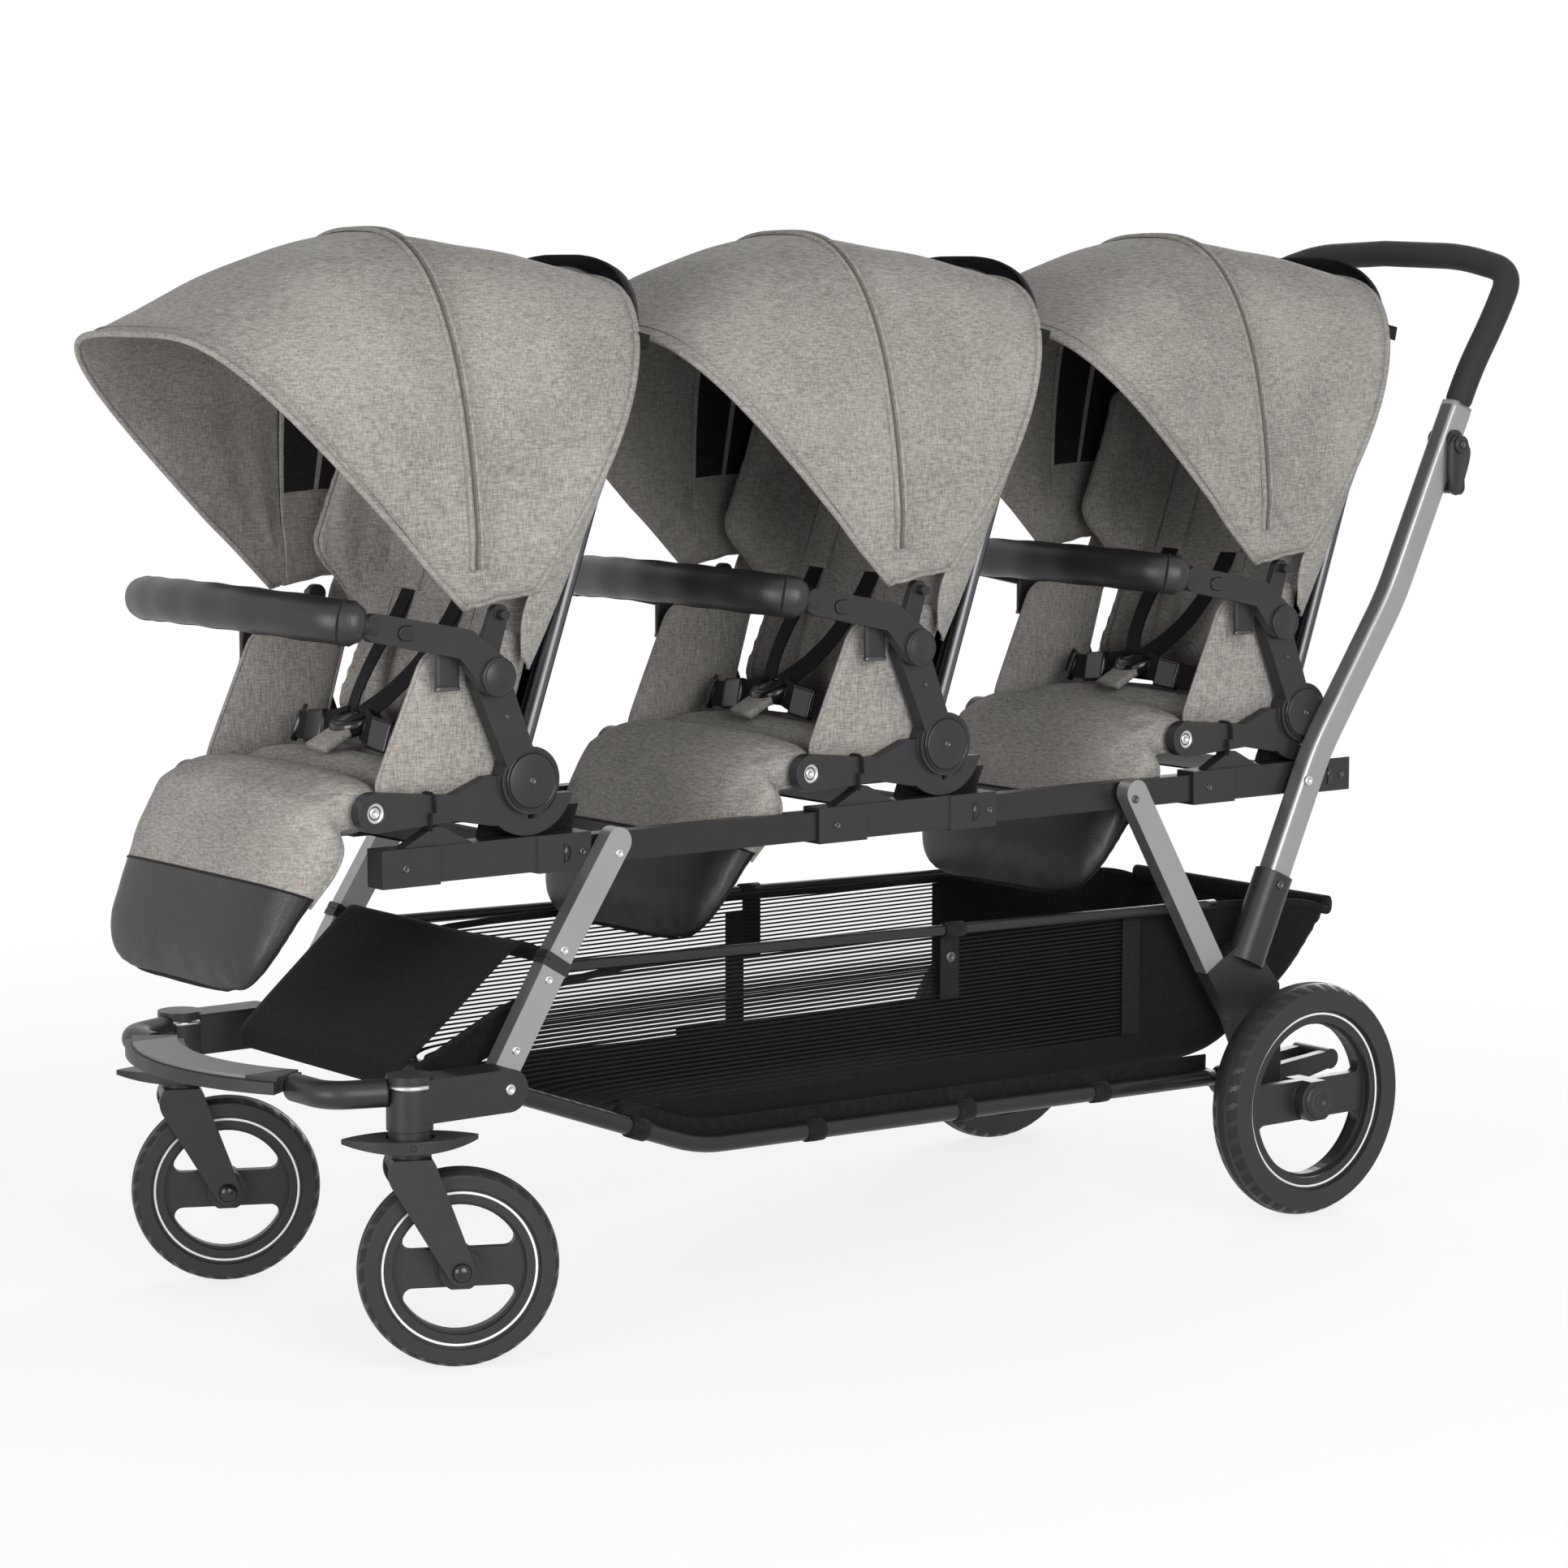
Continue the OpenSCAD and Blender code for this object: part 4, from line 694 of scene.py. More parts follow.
def padRings():
    # half width w falls as an ellipse at the top; wings g rise at the sides; edges thin out by e at both ends
    b = backPad
    s = np.concatenate([np.linspace(b["start"], 60, 6), np.linspace(75, 440, 34), np.linspace(447, b["end"], 6)])
    w = b["halfWidth"] * np.sqrt(1 - (np.maximum(0, s - b["roundFrom"]) / b["roundR"]) ** 2)
    g = b["wing"] * ramp(s, *b["wingStart"]) * (1 - ramp(s, *b["wingEnd"]))
    e = np.minimum(1, np.minimum(0.6 + (s - b["start"]) / 40, 0.6 + (b["end"] - s) / 40))
    t, c, f = b["thick"] * e, 6 * e, g + b["thick"] * e
    o = w - np.minimum(b["wingThick"], w * 0.4)
    low, z = b["low"], np.zeros_like(s)
    half = [(low + 8 * e, w), (low + f * 0.55, w), (low + f - 8 * e, w - 1), (low + f, (w + o) / 2),
            (low + f - 7 * e, o + 1), (low + t + (f - t) * 0.4, o - 2), (low + t + 2 * e, o - w * 0.11),
            (low + t + c * 0.6, w * 0.35)]
    ring = ([(z + low, 8 - w)] + [(x, -y) for x, y in half] + [(low + t + c, z)] + half[::-1] +
            [(z + low, w - 8), (z + low, z)])
    return leaned(np.stack([np.stack([x, y, s], -1) for x, y in ring], 1))


# low on the back the cloth is drawn into upright folds
folds = {"height": 2.6, "pitch": 7.5, "depth": (14, 24), "up": (70, 175), "across": (105, 125)}


def gather(mesh):
    # depth follows a wandering sine across, where the point is on the front, low and away from the sides
    p = pointsOf(mesh) * 1000 - atHub((0, 0, 0), 0)
    depth = p[:, 0] * math.cos(lean) + p[:, 2] * math.sin(lean) - backPad["low"]
    up = p[:, 2] * math.cos(lean) - p[:, 0] * math.sin(lean)
    front = ramp(depth, *folds["depth"]) * (1 - ramp(up, *folds["up"])) * (1 - ramp(np.abs(p[:, 1]), *folds["across"]))
    fold = folds["height"] * np.sin(p[:, 1] / folds["pitch"] + 1.4 * np.sin(p[:, 1] / 23 + up / 60)) * front
    p += fold[:, None] * np.array([math.cos(lean), 0, math.sin(lean)])
    setPoints(mesh, (p + atHub((0, 0, 0), 0)) / 1000)


def padSeams(mesh):
    # piping along both wing edges and two upright stitched lines on the back
    b, rings = backPad, padRings()
    out = leaned(np.array([1.0, 0, 0]))
    lines = [(through(rings[12:40:3, k], 60), b["pipeR"]) for k in (4, 14)]
    up = np.linspace(*b["lineUp"], 60)
    lines += [(leaned(np.stack([np.full(60, 40.0), np.full(60, b["lineY"] * s), up], -1)), b["lineR"]) for s in (1, -1)]
    return [(laidOn(mesh, path, out), r) for path, r in lines]


# black cover over the back frame, drawn flat over the top so that it clears the next visor
backCover = {"start": 20.0, "bend": 372.0, "rise": 174.8, "roundR": 175.3, "power": 2.8, "halfWidth": 148.0,
             "flare": 20.0, "flareUp": (330, 400), "slack": 9.0, "tight": 8.5, "tightUp": (340, 440), "depth": 10.5,
             "wrap": 18.0, "wrapUp": (536, 546), "wrapAcross": (0.88, 1.0), "cols": 41, "cloth": 1.8}


def coverGrid():
    # rows up the back, columns across; set back by depth + slack * (1 - across^2), brought forward where it wraps
    b = backCover
    s = np.concatenate([np.linspace(b["start"], b["bend"], 24),
                        b["bend"] + b["rise"] * np.sin(np.linspace(0.05, np.pi / 2, 24))])
    arch = np.maximum(0, 1 - (np.maximum(0, s - b["bend"]) / b["roundR"]) ** b["power"]) ** (1 / b["power"])
    w = (b["halfWidth"] + b["flare"] * ramp(s, *b["flareUp"])) * arch + 0.5
    u = np.linspace(-1, 1, b["cols"])
    wrap = np.maximum(ramp(np.abs(u), *b["wrapAcross"])[None], ramp(s, *b["wrapUp"])[:, None])
    slack = (b["slack"] - b["tight"] * ramp(s, *b["tightUp"])) * np.minimum(1, w / 60)
    depth = -b["depth"] - slack[:, None] * (1 - u ** 2)[None] + b["wrap"] * wrap
    y = w[:, None] * np.sign(u) * np.minimum(1, np.abs(u) * 1.06)
    return leaned(np.stack([depth, y, np.repeat(s[:, None], b["cols"], 1)], -1))


def makeBack(seat, hx):
    # the shared pad, its piping, and the cover as a sheet
    o = copyOf(seat + "BackPad", padMesh["back"], hx, seat + "_back")
    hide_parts(seat + "_seat_back_pad")
    assemble(seat + "BackPiping", [cord(path, r, (1, 0, 0), 0, hx) for path, r in backSeams], [binding],
             seat + "_back", "seat_fabric")
    g = coverGrid()
    o = finishMesh(seat + "BackCover", *sheetGeometry(atHub(g, hx), backCover["cloth"])[:2], [blackCloth],
                   body=seat + "_back", slot="webbing")


# seat cushion: crowned slab with one channel across
cushion = {"halfWidth": 154.0, "rear": 26.0, "front": 139.0, "low": -12.0, "edge": 22.0, "crown": 7.0,
           "swell": (0.005, 4.0, 0.004)}


def cushionRings():
    # super-ellipses from rear to front that shrink at both ends; the top is raised by crown * (1 - across^2)
    c = cushion
    u = np.linspace(0, 1, 31)[:, None]
    e = np.sqrt(np.maximum(0, 1 - np.abs(2 * u - 1) ** 4))
    w = c["halfWidth"] - 6 * (1 - e)
    t = c["edge"] * (0.55 + 0.45 * e)
    crown = c["crown"] * e * (1 - 0.6 * np.exp(-((u - 0.5) * 14) ** 2))
    r = superRing(64, 5)[None]
    y = w * r[..., 0]
    z = c["low"] + t * (0.5 + 0.5 * r[..., 1]) + np.where(r[..., 1] > 0, crown * (1 - r[..., 0] ** 2), 0)
    return np.stack([np.broadcast_to(c["rear"] + (c["front"] - c["rear"]) * u, y.shape), y, z], -1)


# side guards: thin padded panels beside the cushion, with a bound edge
guard = {"outline": [(28, -6), (90, -8), (152, -8), (164, -6), (166, 4), (160, 20), (122, 104), (114, 122), (104, 131),
                     (88, 136), (48, 146), (8, 148), (-6, 140), (-4, 124), (20, 44), (26, 10)], "side": 163.2,
         "half": 3.4, "edgeR": 2.1}


def guardParts(sign, hx):
    # rings of the outline shrink to its middle; thickness falls to the rim as a superellipse
    g = guard
    p = spaced(smoothed(np.asarray(g["outline"] + g["outline"][:1], float), 2), 97)[:-1]
    mid = p.mean(0)
    r = np.sin(np.linspace(0.02, np.pi / 2, 12))
    grid = mid + (p - mid) * r[:, None, None]
    side = []
    for face in (1, -1):
        bulge = g["half"] * (1 - r ** 6) ** 0.5 * face
        y = np.broadcast_to((g["side"] + bulge)[:, None], grid.shape[:2]) * sign
        side.append(np.stack([grid[..., 0], y, grid[..., 1]], -1))
    loop = np.stack([p[:, 0], np.full(len(p), sign * g["side"]), p[:, 1]], -1)
    return [part(np.concatenate([side[0], side[1][::-1][1:]]), 0, hx),
            cord(np.concatenate([loop, loop[:2]]), g["edgeR"], (0, 1, 0), 1, hx)]


def makeCushion(seat, hx):
    # the shared cushion, and a guard on each side
    o = copyOf(seat + "SeatCushion", padMesh["seat"], hx, seat + "_seat")
    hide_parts(seat + "_seat_cushion")
    o = assemble(seat + "SideGuards", guardParts(1, hx) + guardParts(-1, hx), [taupe, binding], seat + "_seat",
                 "seat_fabric")


# leg rest: knee roll round its pivot that runs down into the pouch
legRest = {"pivot": (178.0, -20.0), "knee": 36.0, "kneeHalf": 164.0, "shinHalf": 177.0, "power": 3.2, "rows": 81,
           "cols": 56, "seam": (276.0, -86.0), "slope": 0.39, "seamRow": 47, "corner": 15, "swell": (0.006, 4.0, 0.003)}


def pouchRings():
    # each row gives rear (x, z), front (x, z) and half width; a super-ellipse lies between rear and front
    k, (px, pz) = legRest["knee"], legRest["pivot"]
    a, b = legRest["kneeHalf"], legRest["shinHalf"]
    table = np.array([(-0.98 * k, -0.3 * k, -0.9 * k, 0.4 * k, a - 14),
                      (-0.75 * k, -0.62 * k, -0.52 * k, 0.85 * k, a - 3), (0, -0.85 * k, 0.3 * k, 0.97 * k, a),
                      (20, -28, 48, 19, a), (20, -37, 60, 6, b - 3), (19, -49, 72, -12, b), (27, -67, 86, -36, b - 2),
                      (44, -87, 98, -66, b - 8), (62, -107, 110, -98, b - 13), (82, -130, 120, -130, b - 19),
                      (97, -152, 123, -156, b - 33), (106, -168, 121, -172, b - 54), (112, -176, 118, -178, b - 84)])
    t = through(table, legRest["rows"])
    r = superRing(legRest["cols"], legRest["power"])
    p = ((t[:, :2] + t[:, 2:4]) / 2)[:, None] + ((t[:, 2:4] - t[:, :2]) / 2)[:, None] * r[None, :, :1]
    return np.stack([p[..., 0] + px, -r[None, :, 1] * t[:, 4:5], p[..., 1] + pz], -1)


def pouchSeams(mesh):
    # black piping down one side, across the toe and up the other; taupe binding round the knee cut-out;
    # a dark seam line
    rings, n = pouchRings(), legRest["cols"]
    middle = rings.mean(1)
    corner, top = legRest["corner"], legRest["seamRow"]
    run = [(k, corner) for k in range(top, 79, 2)] + [(79, j % n) for j in range(corner - 4, 4 - corner, -1)]
    run += [(k, n - corner) for k in range(77, top - 1, -2)]
    rows, cols = np.array(run).T
    toe = rings[rows, cols]
    out = toe - middle[np.minimum(rows, 72)]
    lines = [(laidOn(mesh, spaced(smoothed(toe, 4), 120), spaced(smoothed(out, 4), 120)), 1.7, 0)]
    for j in (17, 39):
        lines.append((laidOn(mesh, rings[14:50, j], rings[14:50, j] - middle[14:50]), 2.6, 1))
    seam = np.concatenate([rings[top, 40:], rings[top, :17]])
    lines.append((laidOn(mesh, seam, seam - middle[top], 0.2), 1.2, 0))
    return lines


def makeLegRest(seat, hx):
    # the shared pouch in its own cloth, whose seam plane lies at this seat
    seamX, seamZ = ((a + b) / 1000 for a, b in zip((hx, hubZ), legRest["seam"]))
    o = copyOf(seat + "LegRest", padMesh["legs"], hx, seat + "_legrest")
    o.data.materials[0] = pouchMaterial(seat + "PouchCloth", seamX, seamZ, legRest["slope"])
    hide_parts(seat + "_seat_legrest")
    cords = [cord(path, r, (0, 0, 1) if k else (1, 0, 0.4), k, hx) for path, r, k in legSeams]
    assemble(seat + "LegRestPiping", cords, [webbing, binding], seat + "_legrest", "seat_fabric")


# bumper bar sleeve: one wide bow between two tight bends, laid on the bar's own slope
bar = {"midY": 196.0, "bendR": 30.0, "mainA": math.radians(15), "cuffA": math.radians(8), "x": 199.0, "z": 165.0,
       "tilt": math.radians(11.22), "r": 22.0, "steps": 120}


def barPath():
    # arcs that meet at the angle mainA, mirrored and tilted
    b, a = bar, bar["mainA"]
    mainR = b["bendR"] + (b["midY"] - b["bendR"]) / math.sin(a)
    w = np.linspace(math.pi / 2 - b["cuffA"], a, 14)
    near = np.stack([b["bendR"] * np.cos(w), b["midY"] - b["bendR"] + b["bendR"] * np.sin(w)], -1)
    w = np.linspace(a, -a, 60)[1:-1]
    mid = np.stack([(b["bendR"] - mainR) * math.cos(a) + mainR * np.cos(w), mainR * np.sin(w)], -1)
    flat = np.concatenate([near, mid, near[::-1] * (1, -1)])
    return np.stack([b["x"] + flat[:, 0] * math.cos(b["tilt"]), flat[:, 1],
                     b["z"] + flat[:, 0] * math.sin(b["tilt"])], -1)


def makeBarPad(seat, hx):
    # radius eases in at both ends and swells slightly in waves; a seam underneath and a cuff edge at each end
    path = spaced(barPath(), bar["steps"])
    d = np.linspace(-1, 1, bar["steps"])
    end = np.minimum(1, ((1 - np.abs(d)) * 200 / 9) ** 2 * 0.9 + 0.62) ** 0.5
    size = bar["r"] * end * (1 + 0.02 * np.cos(6 * np.pi * d))
    under = path - np.array([0, 0, 1.0]) * (size[:, None] - 0.5)
    parts = [part(sweep(path, superRing(40, 2.15)[None] * size[:, None, None], (0, 0, 1)), 0, hx),
             cord(under[4:-4], 1.6, (0, 1, 0.3), 1, hx, 8)]
    for i in (5, -6):
        lip = [(size[i] - 1, -1.6), (size[i] + 0.9, -0.8), (size[i] + 0.9, 0.8), (size[i] - 1, 1.6)]
        parts.append(hoop(lip, atHub(path[i], hx), unit(path[i + 1] - path[i - 1]), 48, 1))
    o = assemble(seat + "BarPad", parts, [leather, webbing], seat + "_bar", "bar_leather")
    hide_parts(seat + "_seat_bar_pad")


# harness: flat webbing carried along paths, taupe pads on the shoulder straps, round buckle
harness = {"width": 25.0, "thick": 2.4, "waistRef": (1, 0, 0.25), "shoulderRef": (1, 0, 0.3),
           "buckle": (88.0, 0.0, 50.0), "buckleAxis": (0.35, 0, 0.94),
           "buckleShape": [(0.01, -10), (24, -10), (27, -6), (27, 3), (24, 7), (18, 8), (17.2, 6.6), (15.6, 7.0),
                           (0.01, 8.4)], "shoulderUp": [330.0, 300.0, 240.0, 170.0],
           "shoulderY": [44.0, 46.0, 48.0, 50.0], "padWidth": 44, "padThick": 8}


def strap(points, width, thick, hx, kind=0, ref=(0, 0, 1), count=40):
    # a flat super-ellipse along the smoothed points
    path = spaced(smoothed(points, 3), count)
    return part(sweep(path, superRing(16, 6, width / 2, thick / 2), ref), kind, hx)


def makeHarness(seat, hx):
    # waist straps with their clips, crotch strap and buckle on the seat; shoulder straps between seat and back
    h = harness
    b, wide, ref = np.array(h["buckle"]), h["width"], h["waistRef"]
    parts = []
    for s in (1, -1):
        parts += [strap([b + (-2, s * 14, 0), (96, s * 44, 42), (92, s * 104, 36), (62, s * 146, 40)],
                        wide + 4, 5.0, hx, 0, ref),
                  strap([(96.5, s * 46, 42), (95, s * 78, 38.6)], wide + 9, 9.0, hx, 1, ref, 12),
                  strap([(90, s * 108, 35), (84, s * 118, 36)], wide + 7, 8.0, hx, 1, ref, 12)]
    parts += [strap([b + (8, 0, -6), (118, 0, 33), (134, 0, 25)], 38, 10, hx, 2),
              part(spun(h["buckleShape"], b, h["buckleAxis"]), 1, hx)]
    o = assemble(seat + "HarnessWaist", parts, [webbing, gloss, taupe], seat + "_seat", "webbing")
    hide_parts(seat + "_seat_harness")
    parts = []
    for s in (1, -1):
        up = np.array(h["shoulderUp"])
        top = leaned(np.stack([np.full_like(up, backPad["low"] + backPad["thick"] + 7.5),
                               np.array(h["shoulderY"]) * s, up], -1))
        low = np.array([(34, s * 46, 112), (66, s * 30, 76), (86, s * 10, 56)])
        parts += [strap(np.concatenate([top, low]), wide, h["thick"], hx, 0, h["shoulderRef"], 60),
                  strap(top + (3.5, 0, 1.0), h["padWidth"], h["padThick"], hx, 1, h["shoulderRef"])]
    o = assemble(seat + "ShoulderStraps", parts, [webbing, taupe], slot="webbing")
    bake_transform(o)


# hard details on the seat sides; places are from the hub, on the near side
trim = {"pivot": (178, 178.2, -20),
        "pivotRing": [(6.5, 0), (12.5, 0), (12.5, 1.6), (11.5, 2.4), (7.5, 2.4), (6.5, 1.2)], "disc": (0, 189.4, 0),
        "discShape": [(0.01, 1.8), (25.5, 1.8), (27, 1.2), (27.4, 0), (0.01, -0.4)], "discBolt": (0, 191.1, 0),
        "gap": (0, 189.2, 0), "gapShape": [(27.6, -0.6), (30.0, -0.6), (30.0, 0.9), (27.6, 0.5)],
        "stalkBolt": (30, 189.5, 66), "band": (112, 175, -24), "bandHalf": (8.6, 16.4), "bandSection": (4.2, 1.5),
        "hinge": (48, 203.5, 107),
        "hingeShape": [(19.6, 0), (19.6, 1.4), (17.2, 2.4), (16.6, 1.6), (15.8, 2.2), (0.01, 2.6)],
        "tabX": 98, "tabY": 187}


def makeSeatTrim(seat, hx):
    # pivot bolts, hub discs and rings on the seat, elastic bands round its beams, discs and tabs on the bar's hinges
    t = trim
    bolts, bands, hinges = [], [], []
    ring = superRing(32, 6)
    ring = np.concatenate([ring, [(1.0, 0.0)]])
    for s in (1, -1):
        y = (0, s, 0)
        pivot, disc, discBolt, gap, stalkBolt, hinge = (np.array(t[k]) * (1, s, 1) for k in
                                                        ("pivot", "disc", "discBolt", "gap", "stalkBolt", "hinge"))
        bolts += [hoop(t["pivotRing"], atHub(pivot, hx), y, 40, 0), bolt(6, 2.2, pivot, y, 12, 0, hx),
                  part(spun(t["discShape"], disc, y, 64), 2, hx), bolt(3.6, 1.4, discBolt, y, 20, 3, hx),
                  hoop(t["gapShape"], atHub(gap, hx), y, 64, 1), bolt(2.6, 1.2, stalkBolt, y, 16, 3, hx)]
        (x, across, z), (a, b) = t["band"], t["bandHalf"]
        loop = np.stack([x + np.linspace(0, 5, 33), s * (across + a * ring[:, 0]), z + b * ring[:, 1]], -1)
        bands.append(part(sweep(loop, superRing(10, 2, *t["bandSection"]), (1, 0, 0)), 0, hx))
        hinges.append(part(spun(t["hingeShape"], hinge, y, 56), 0, hx))
        for top, low, steps, half, kind in ((146, 97, 10, (3.2, 13), 0), (99, 95, 4, (3.8, 13.8), 1)):
            tab = np.linspace((t["tabX"], s * t["tabY"], top), (t["tabX"], s * t["tabY"], low), steps)
            hinges.append(part(sweep(tab, superRing(16, 6, *half), (1, 0, 0)), kind, hx))
    assemble(seat + "SideBolts", bolts, [bright, gloss, plastic, darkSteel], seat + "_seat", "axle_steel")
    assemble(seat + "BeamBands", bands, [webbing], seat + "_seat", "webbing")
    assemble(seat + "BarHinges", hinges, [plastic, darkSteel], seat + "_bar", "black_plastic")


# black cloth slung under the seat from beam to beam
sling = {"x": (-72.0, 44.0), "profile": [(166, -31), (157, -52), (150, -70), (138, -76), (70, -79)], "rows": 13,
         "cols": 41, "rise": 3.0, "cloth": 1.6}


def makeSling(seat, hx):
    # the same hanging profile at every x, a little higher at both ends
    half = np.array(sling["profile"], float)
    m, n = sling["rows"], sling["cols"]
    y, z = through(np.concatenate([half, half[::-1] * (-1, 1)]), n).T
    g = np.stack([np.repeat(np.linspace(*sling["x"], m)[:, None], n, 1), np.repeat(y[None], m, 0),
                  np.repeat(z[None], m, 0)], -1)
    g[..., 2] += sling["rise"] * (np.linspace(-1, 1, m) ** 2)[:, None] * (1 - np.abs(np.linspace(-1, 1, n)) ** 4)[None]
    o = finishMesh(seat + "Sling", *sheetGeometry(atHub(g, hx), sling["cloth"])[:2], [blackCloth], body=seat + "_seat",
                   slot="webbing")


padMesh = {"back": softMesh("backPad", padRings(), *backPad["swell"])}
gather(padMesh["back"])
padMesh["seat"] = softMesh("seatCushion", cushionRings(), *cushion["swell"])
padMesh["legs"] = softMesh("legRest", pouchRings(), *legRest["swell"])
backSeams, legSeams = padSeams(padMesh["back"]), pouchSeams(padMesh["legs"])
for seat, hx in seats.items():
    for make in (makeCanopy, makeFlaps, makeZip, makeBack, makeCushion, makeLegRest, makeBarPad, makeHarness,
                 makeSeatTrim, makeSling):
        make(seat, hx)
    print("seat done:", seat)

# chassis tubes carried along the same routes as their solids, given for the near side
tubes = {"handle": [(-440, 203, 301), (-542, 203, 521), (-659, 203, 691), (-765, 203, 911)],
         "handleHalf": (16.5, 13.0), "handleCut": 28,
         "grip": [(-765, 203, 911), (-784, 203, 951), (-826, 203, 1014), (-861.5, 196, 1066),
                  (-857.5, 119, 1084), (-849.5, 0, 1088)], "gripR": 15.5, "gripCut": 30, "gripSteps": 240,
         "upper": [(506, 182, 371), (0, 182, 360), (-404, 182, 351)], "upperR": 6.0,
         "lower": [(578, 176, 256), (412, 176, 196), (322, 176, 164), (0, 176, 158), (-410, 176, 150)],
         "lowerR": 9.5, "lowerCut": 30}
footboard = {"centreX": 578, "radius": 248, "half": math.radians(32), "z": 275, "stem": (707.0, 224, 275),
             "stemR": 23.5, "corner": (783.0, 196, 275), "cut": 24, "overlap": 8, "tubeR": 14.0}


def cut(points, length, steps):
    # each inner corner becomes a short parabola that starts and ends this far from it
    p = np.asarray(points, float)
    w = np.linspace(0, 1, steps + 1)[:, None]
    out = [p[:1]]
    for a, b, c in zip(p[:-2], p[1:-1], p[2:]):
        s, e = b + unit(a - b) * length, b + unit(c - b) * length
        out.append(s * (1 - w) ** 2 + 2 * b * w * (1 - w) + e * w ** 2)
    return np.concatenate(out + [p[-1:]])


def bothSides(path):
    # the path and its mirror image
    return [path * (1, s, 1) for s in (1, -1)]


lowerRail = cut(tubes["lower"], tubes["lowerCut"], 8)


def makeTubes():
    # sections swept along the cut routes: flat oval handle, round rails and grip
    t, f = tubes, footboard
    handle = spaced(cut(t["handle"], t["handleCut"], 10), 90)
    ring = superRing(48, 5.0, *t["handleHalf"])
    o = assemble("HandleTubes", [part(sweep(p, ring, (0, 1, 0))) for p in bothSides(handle)], [alu], "chassis",
                 "aluminium")
    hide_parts("handle_tube")
    # the grip runs over to the far side and narrows at its two ends
    near = cut(t["grip"], t["gripCut"], 10)
    grip = spaced(np.concatenate([near, near[-2::-1] * (1, -1, 1)]), t["gripSteps"])
    size = t["gripR"] * (1 - 0.16 * ramp(np.abs(np.linspace(-1, 1, t["gripSteps"])), 0.985, 1.0))
    rings = sweep(grip, superRing(32, 2)[None] * size[:, None, None], (1, 0.2, 0))
    o = assemble("HandleGrip", [part(rings)], [foam], "chassis", "foam")
    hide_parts("handle_grip")
    rails = []
    for upper, lower in zip(bothSides(spaced(np.array(t["upper"], float), 60)), bothSides(spaced(lowerRail, 80))):
        rails += [cord(upper, t["upperR"], (0, 1, 0), count=24), cord(lower, t["lowerR"], (0, 1, 0), count=28)]
    o = assemble("BasketRails", rails, [paint], "chassis", "black_metal")
    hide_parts("basket_rails")
    # bent tubes from the stems to the ends of the curved footboard
    c, s = math.cos(f["half"]), math.sin(f["half"])
    end = np.array([f["centreX"] + f["radius"] * c, f["radius"] * s, f["z"]])
    stem, corner = np.array(f["stem"]), np.array(f["corner"])
    route = np.stack([stem + unit(corner - stem) * f["stemR"], corner, end + np.array([-s, c, 0]) * f["overlap"]])
    cross = [cord(p, f["tubeR"], (0, 0, 1), count=32) for p in bothSides(spaced(cut(route, f["cut"], 10), 60))]
    o = assemble("CrossTubes", cross, [plastic], "chassis", "black_metal")
    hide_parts("front_crossbar")


makeTubes()
print("chassis tubes done")

# basket: one hanging net tub, a black front cover and straps;
# bottom, top and cover are (x, z), straps (x, y, low, high)
basket = {"bottom": [(-603, 324), (-582, 292), (-545, 240), (-452, 176), (-405, 164), (-300, 163), (0, 163), (260, 165),
                     (335, 171), (400, 192), (555, 243), (662, 270)],
          "top": [(-603, 325), (-560, 339), (-400, 349), (0, 356), (488, 367), (662, 282)], "x": (-602, 661),
          "rows": 130, "cols": 81, "halfWidth": 164.0, "sag": 6.0, "power": 9.0, "netLow": 210.0, "netRear": -291.0,
          "gussetX": 876.0, "gussetSlope": 1.05, "hemEnd": 420, "hemY": 164.6,
          "cover": [(487, 369), (505, 386), (528, 398), (540, 394), (600, 344), (672, 284), (677, 276), (677, 262)],
          "coverRows": 48, "coverCols": 41, "coverCloth": 2.0, "roll": (-604.0, 330), "loops": [402, 171, -37, -235],
          "straps": [(-16, 177, 284, 366), (16, -167, 205, 340), (-16, -177, 284, 366), (-291, -167, 212, 346),
                     (-291, 167, 212, 346)]}


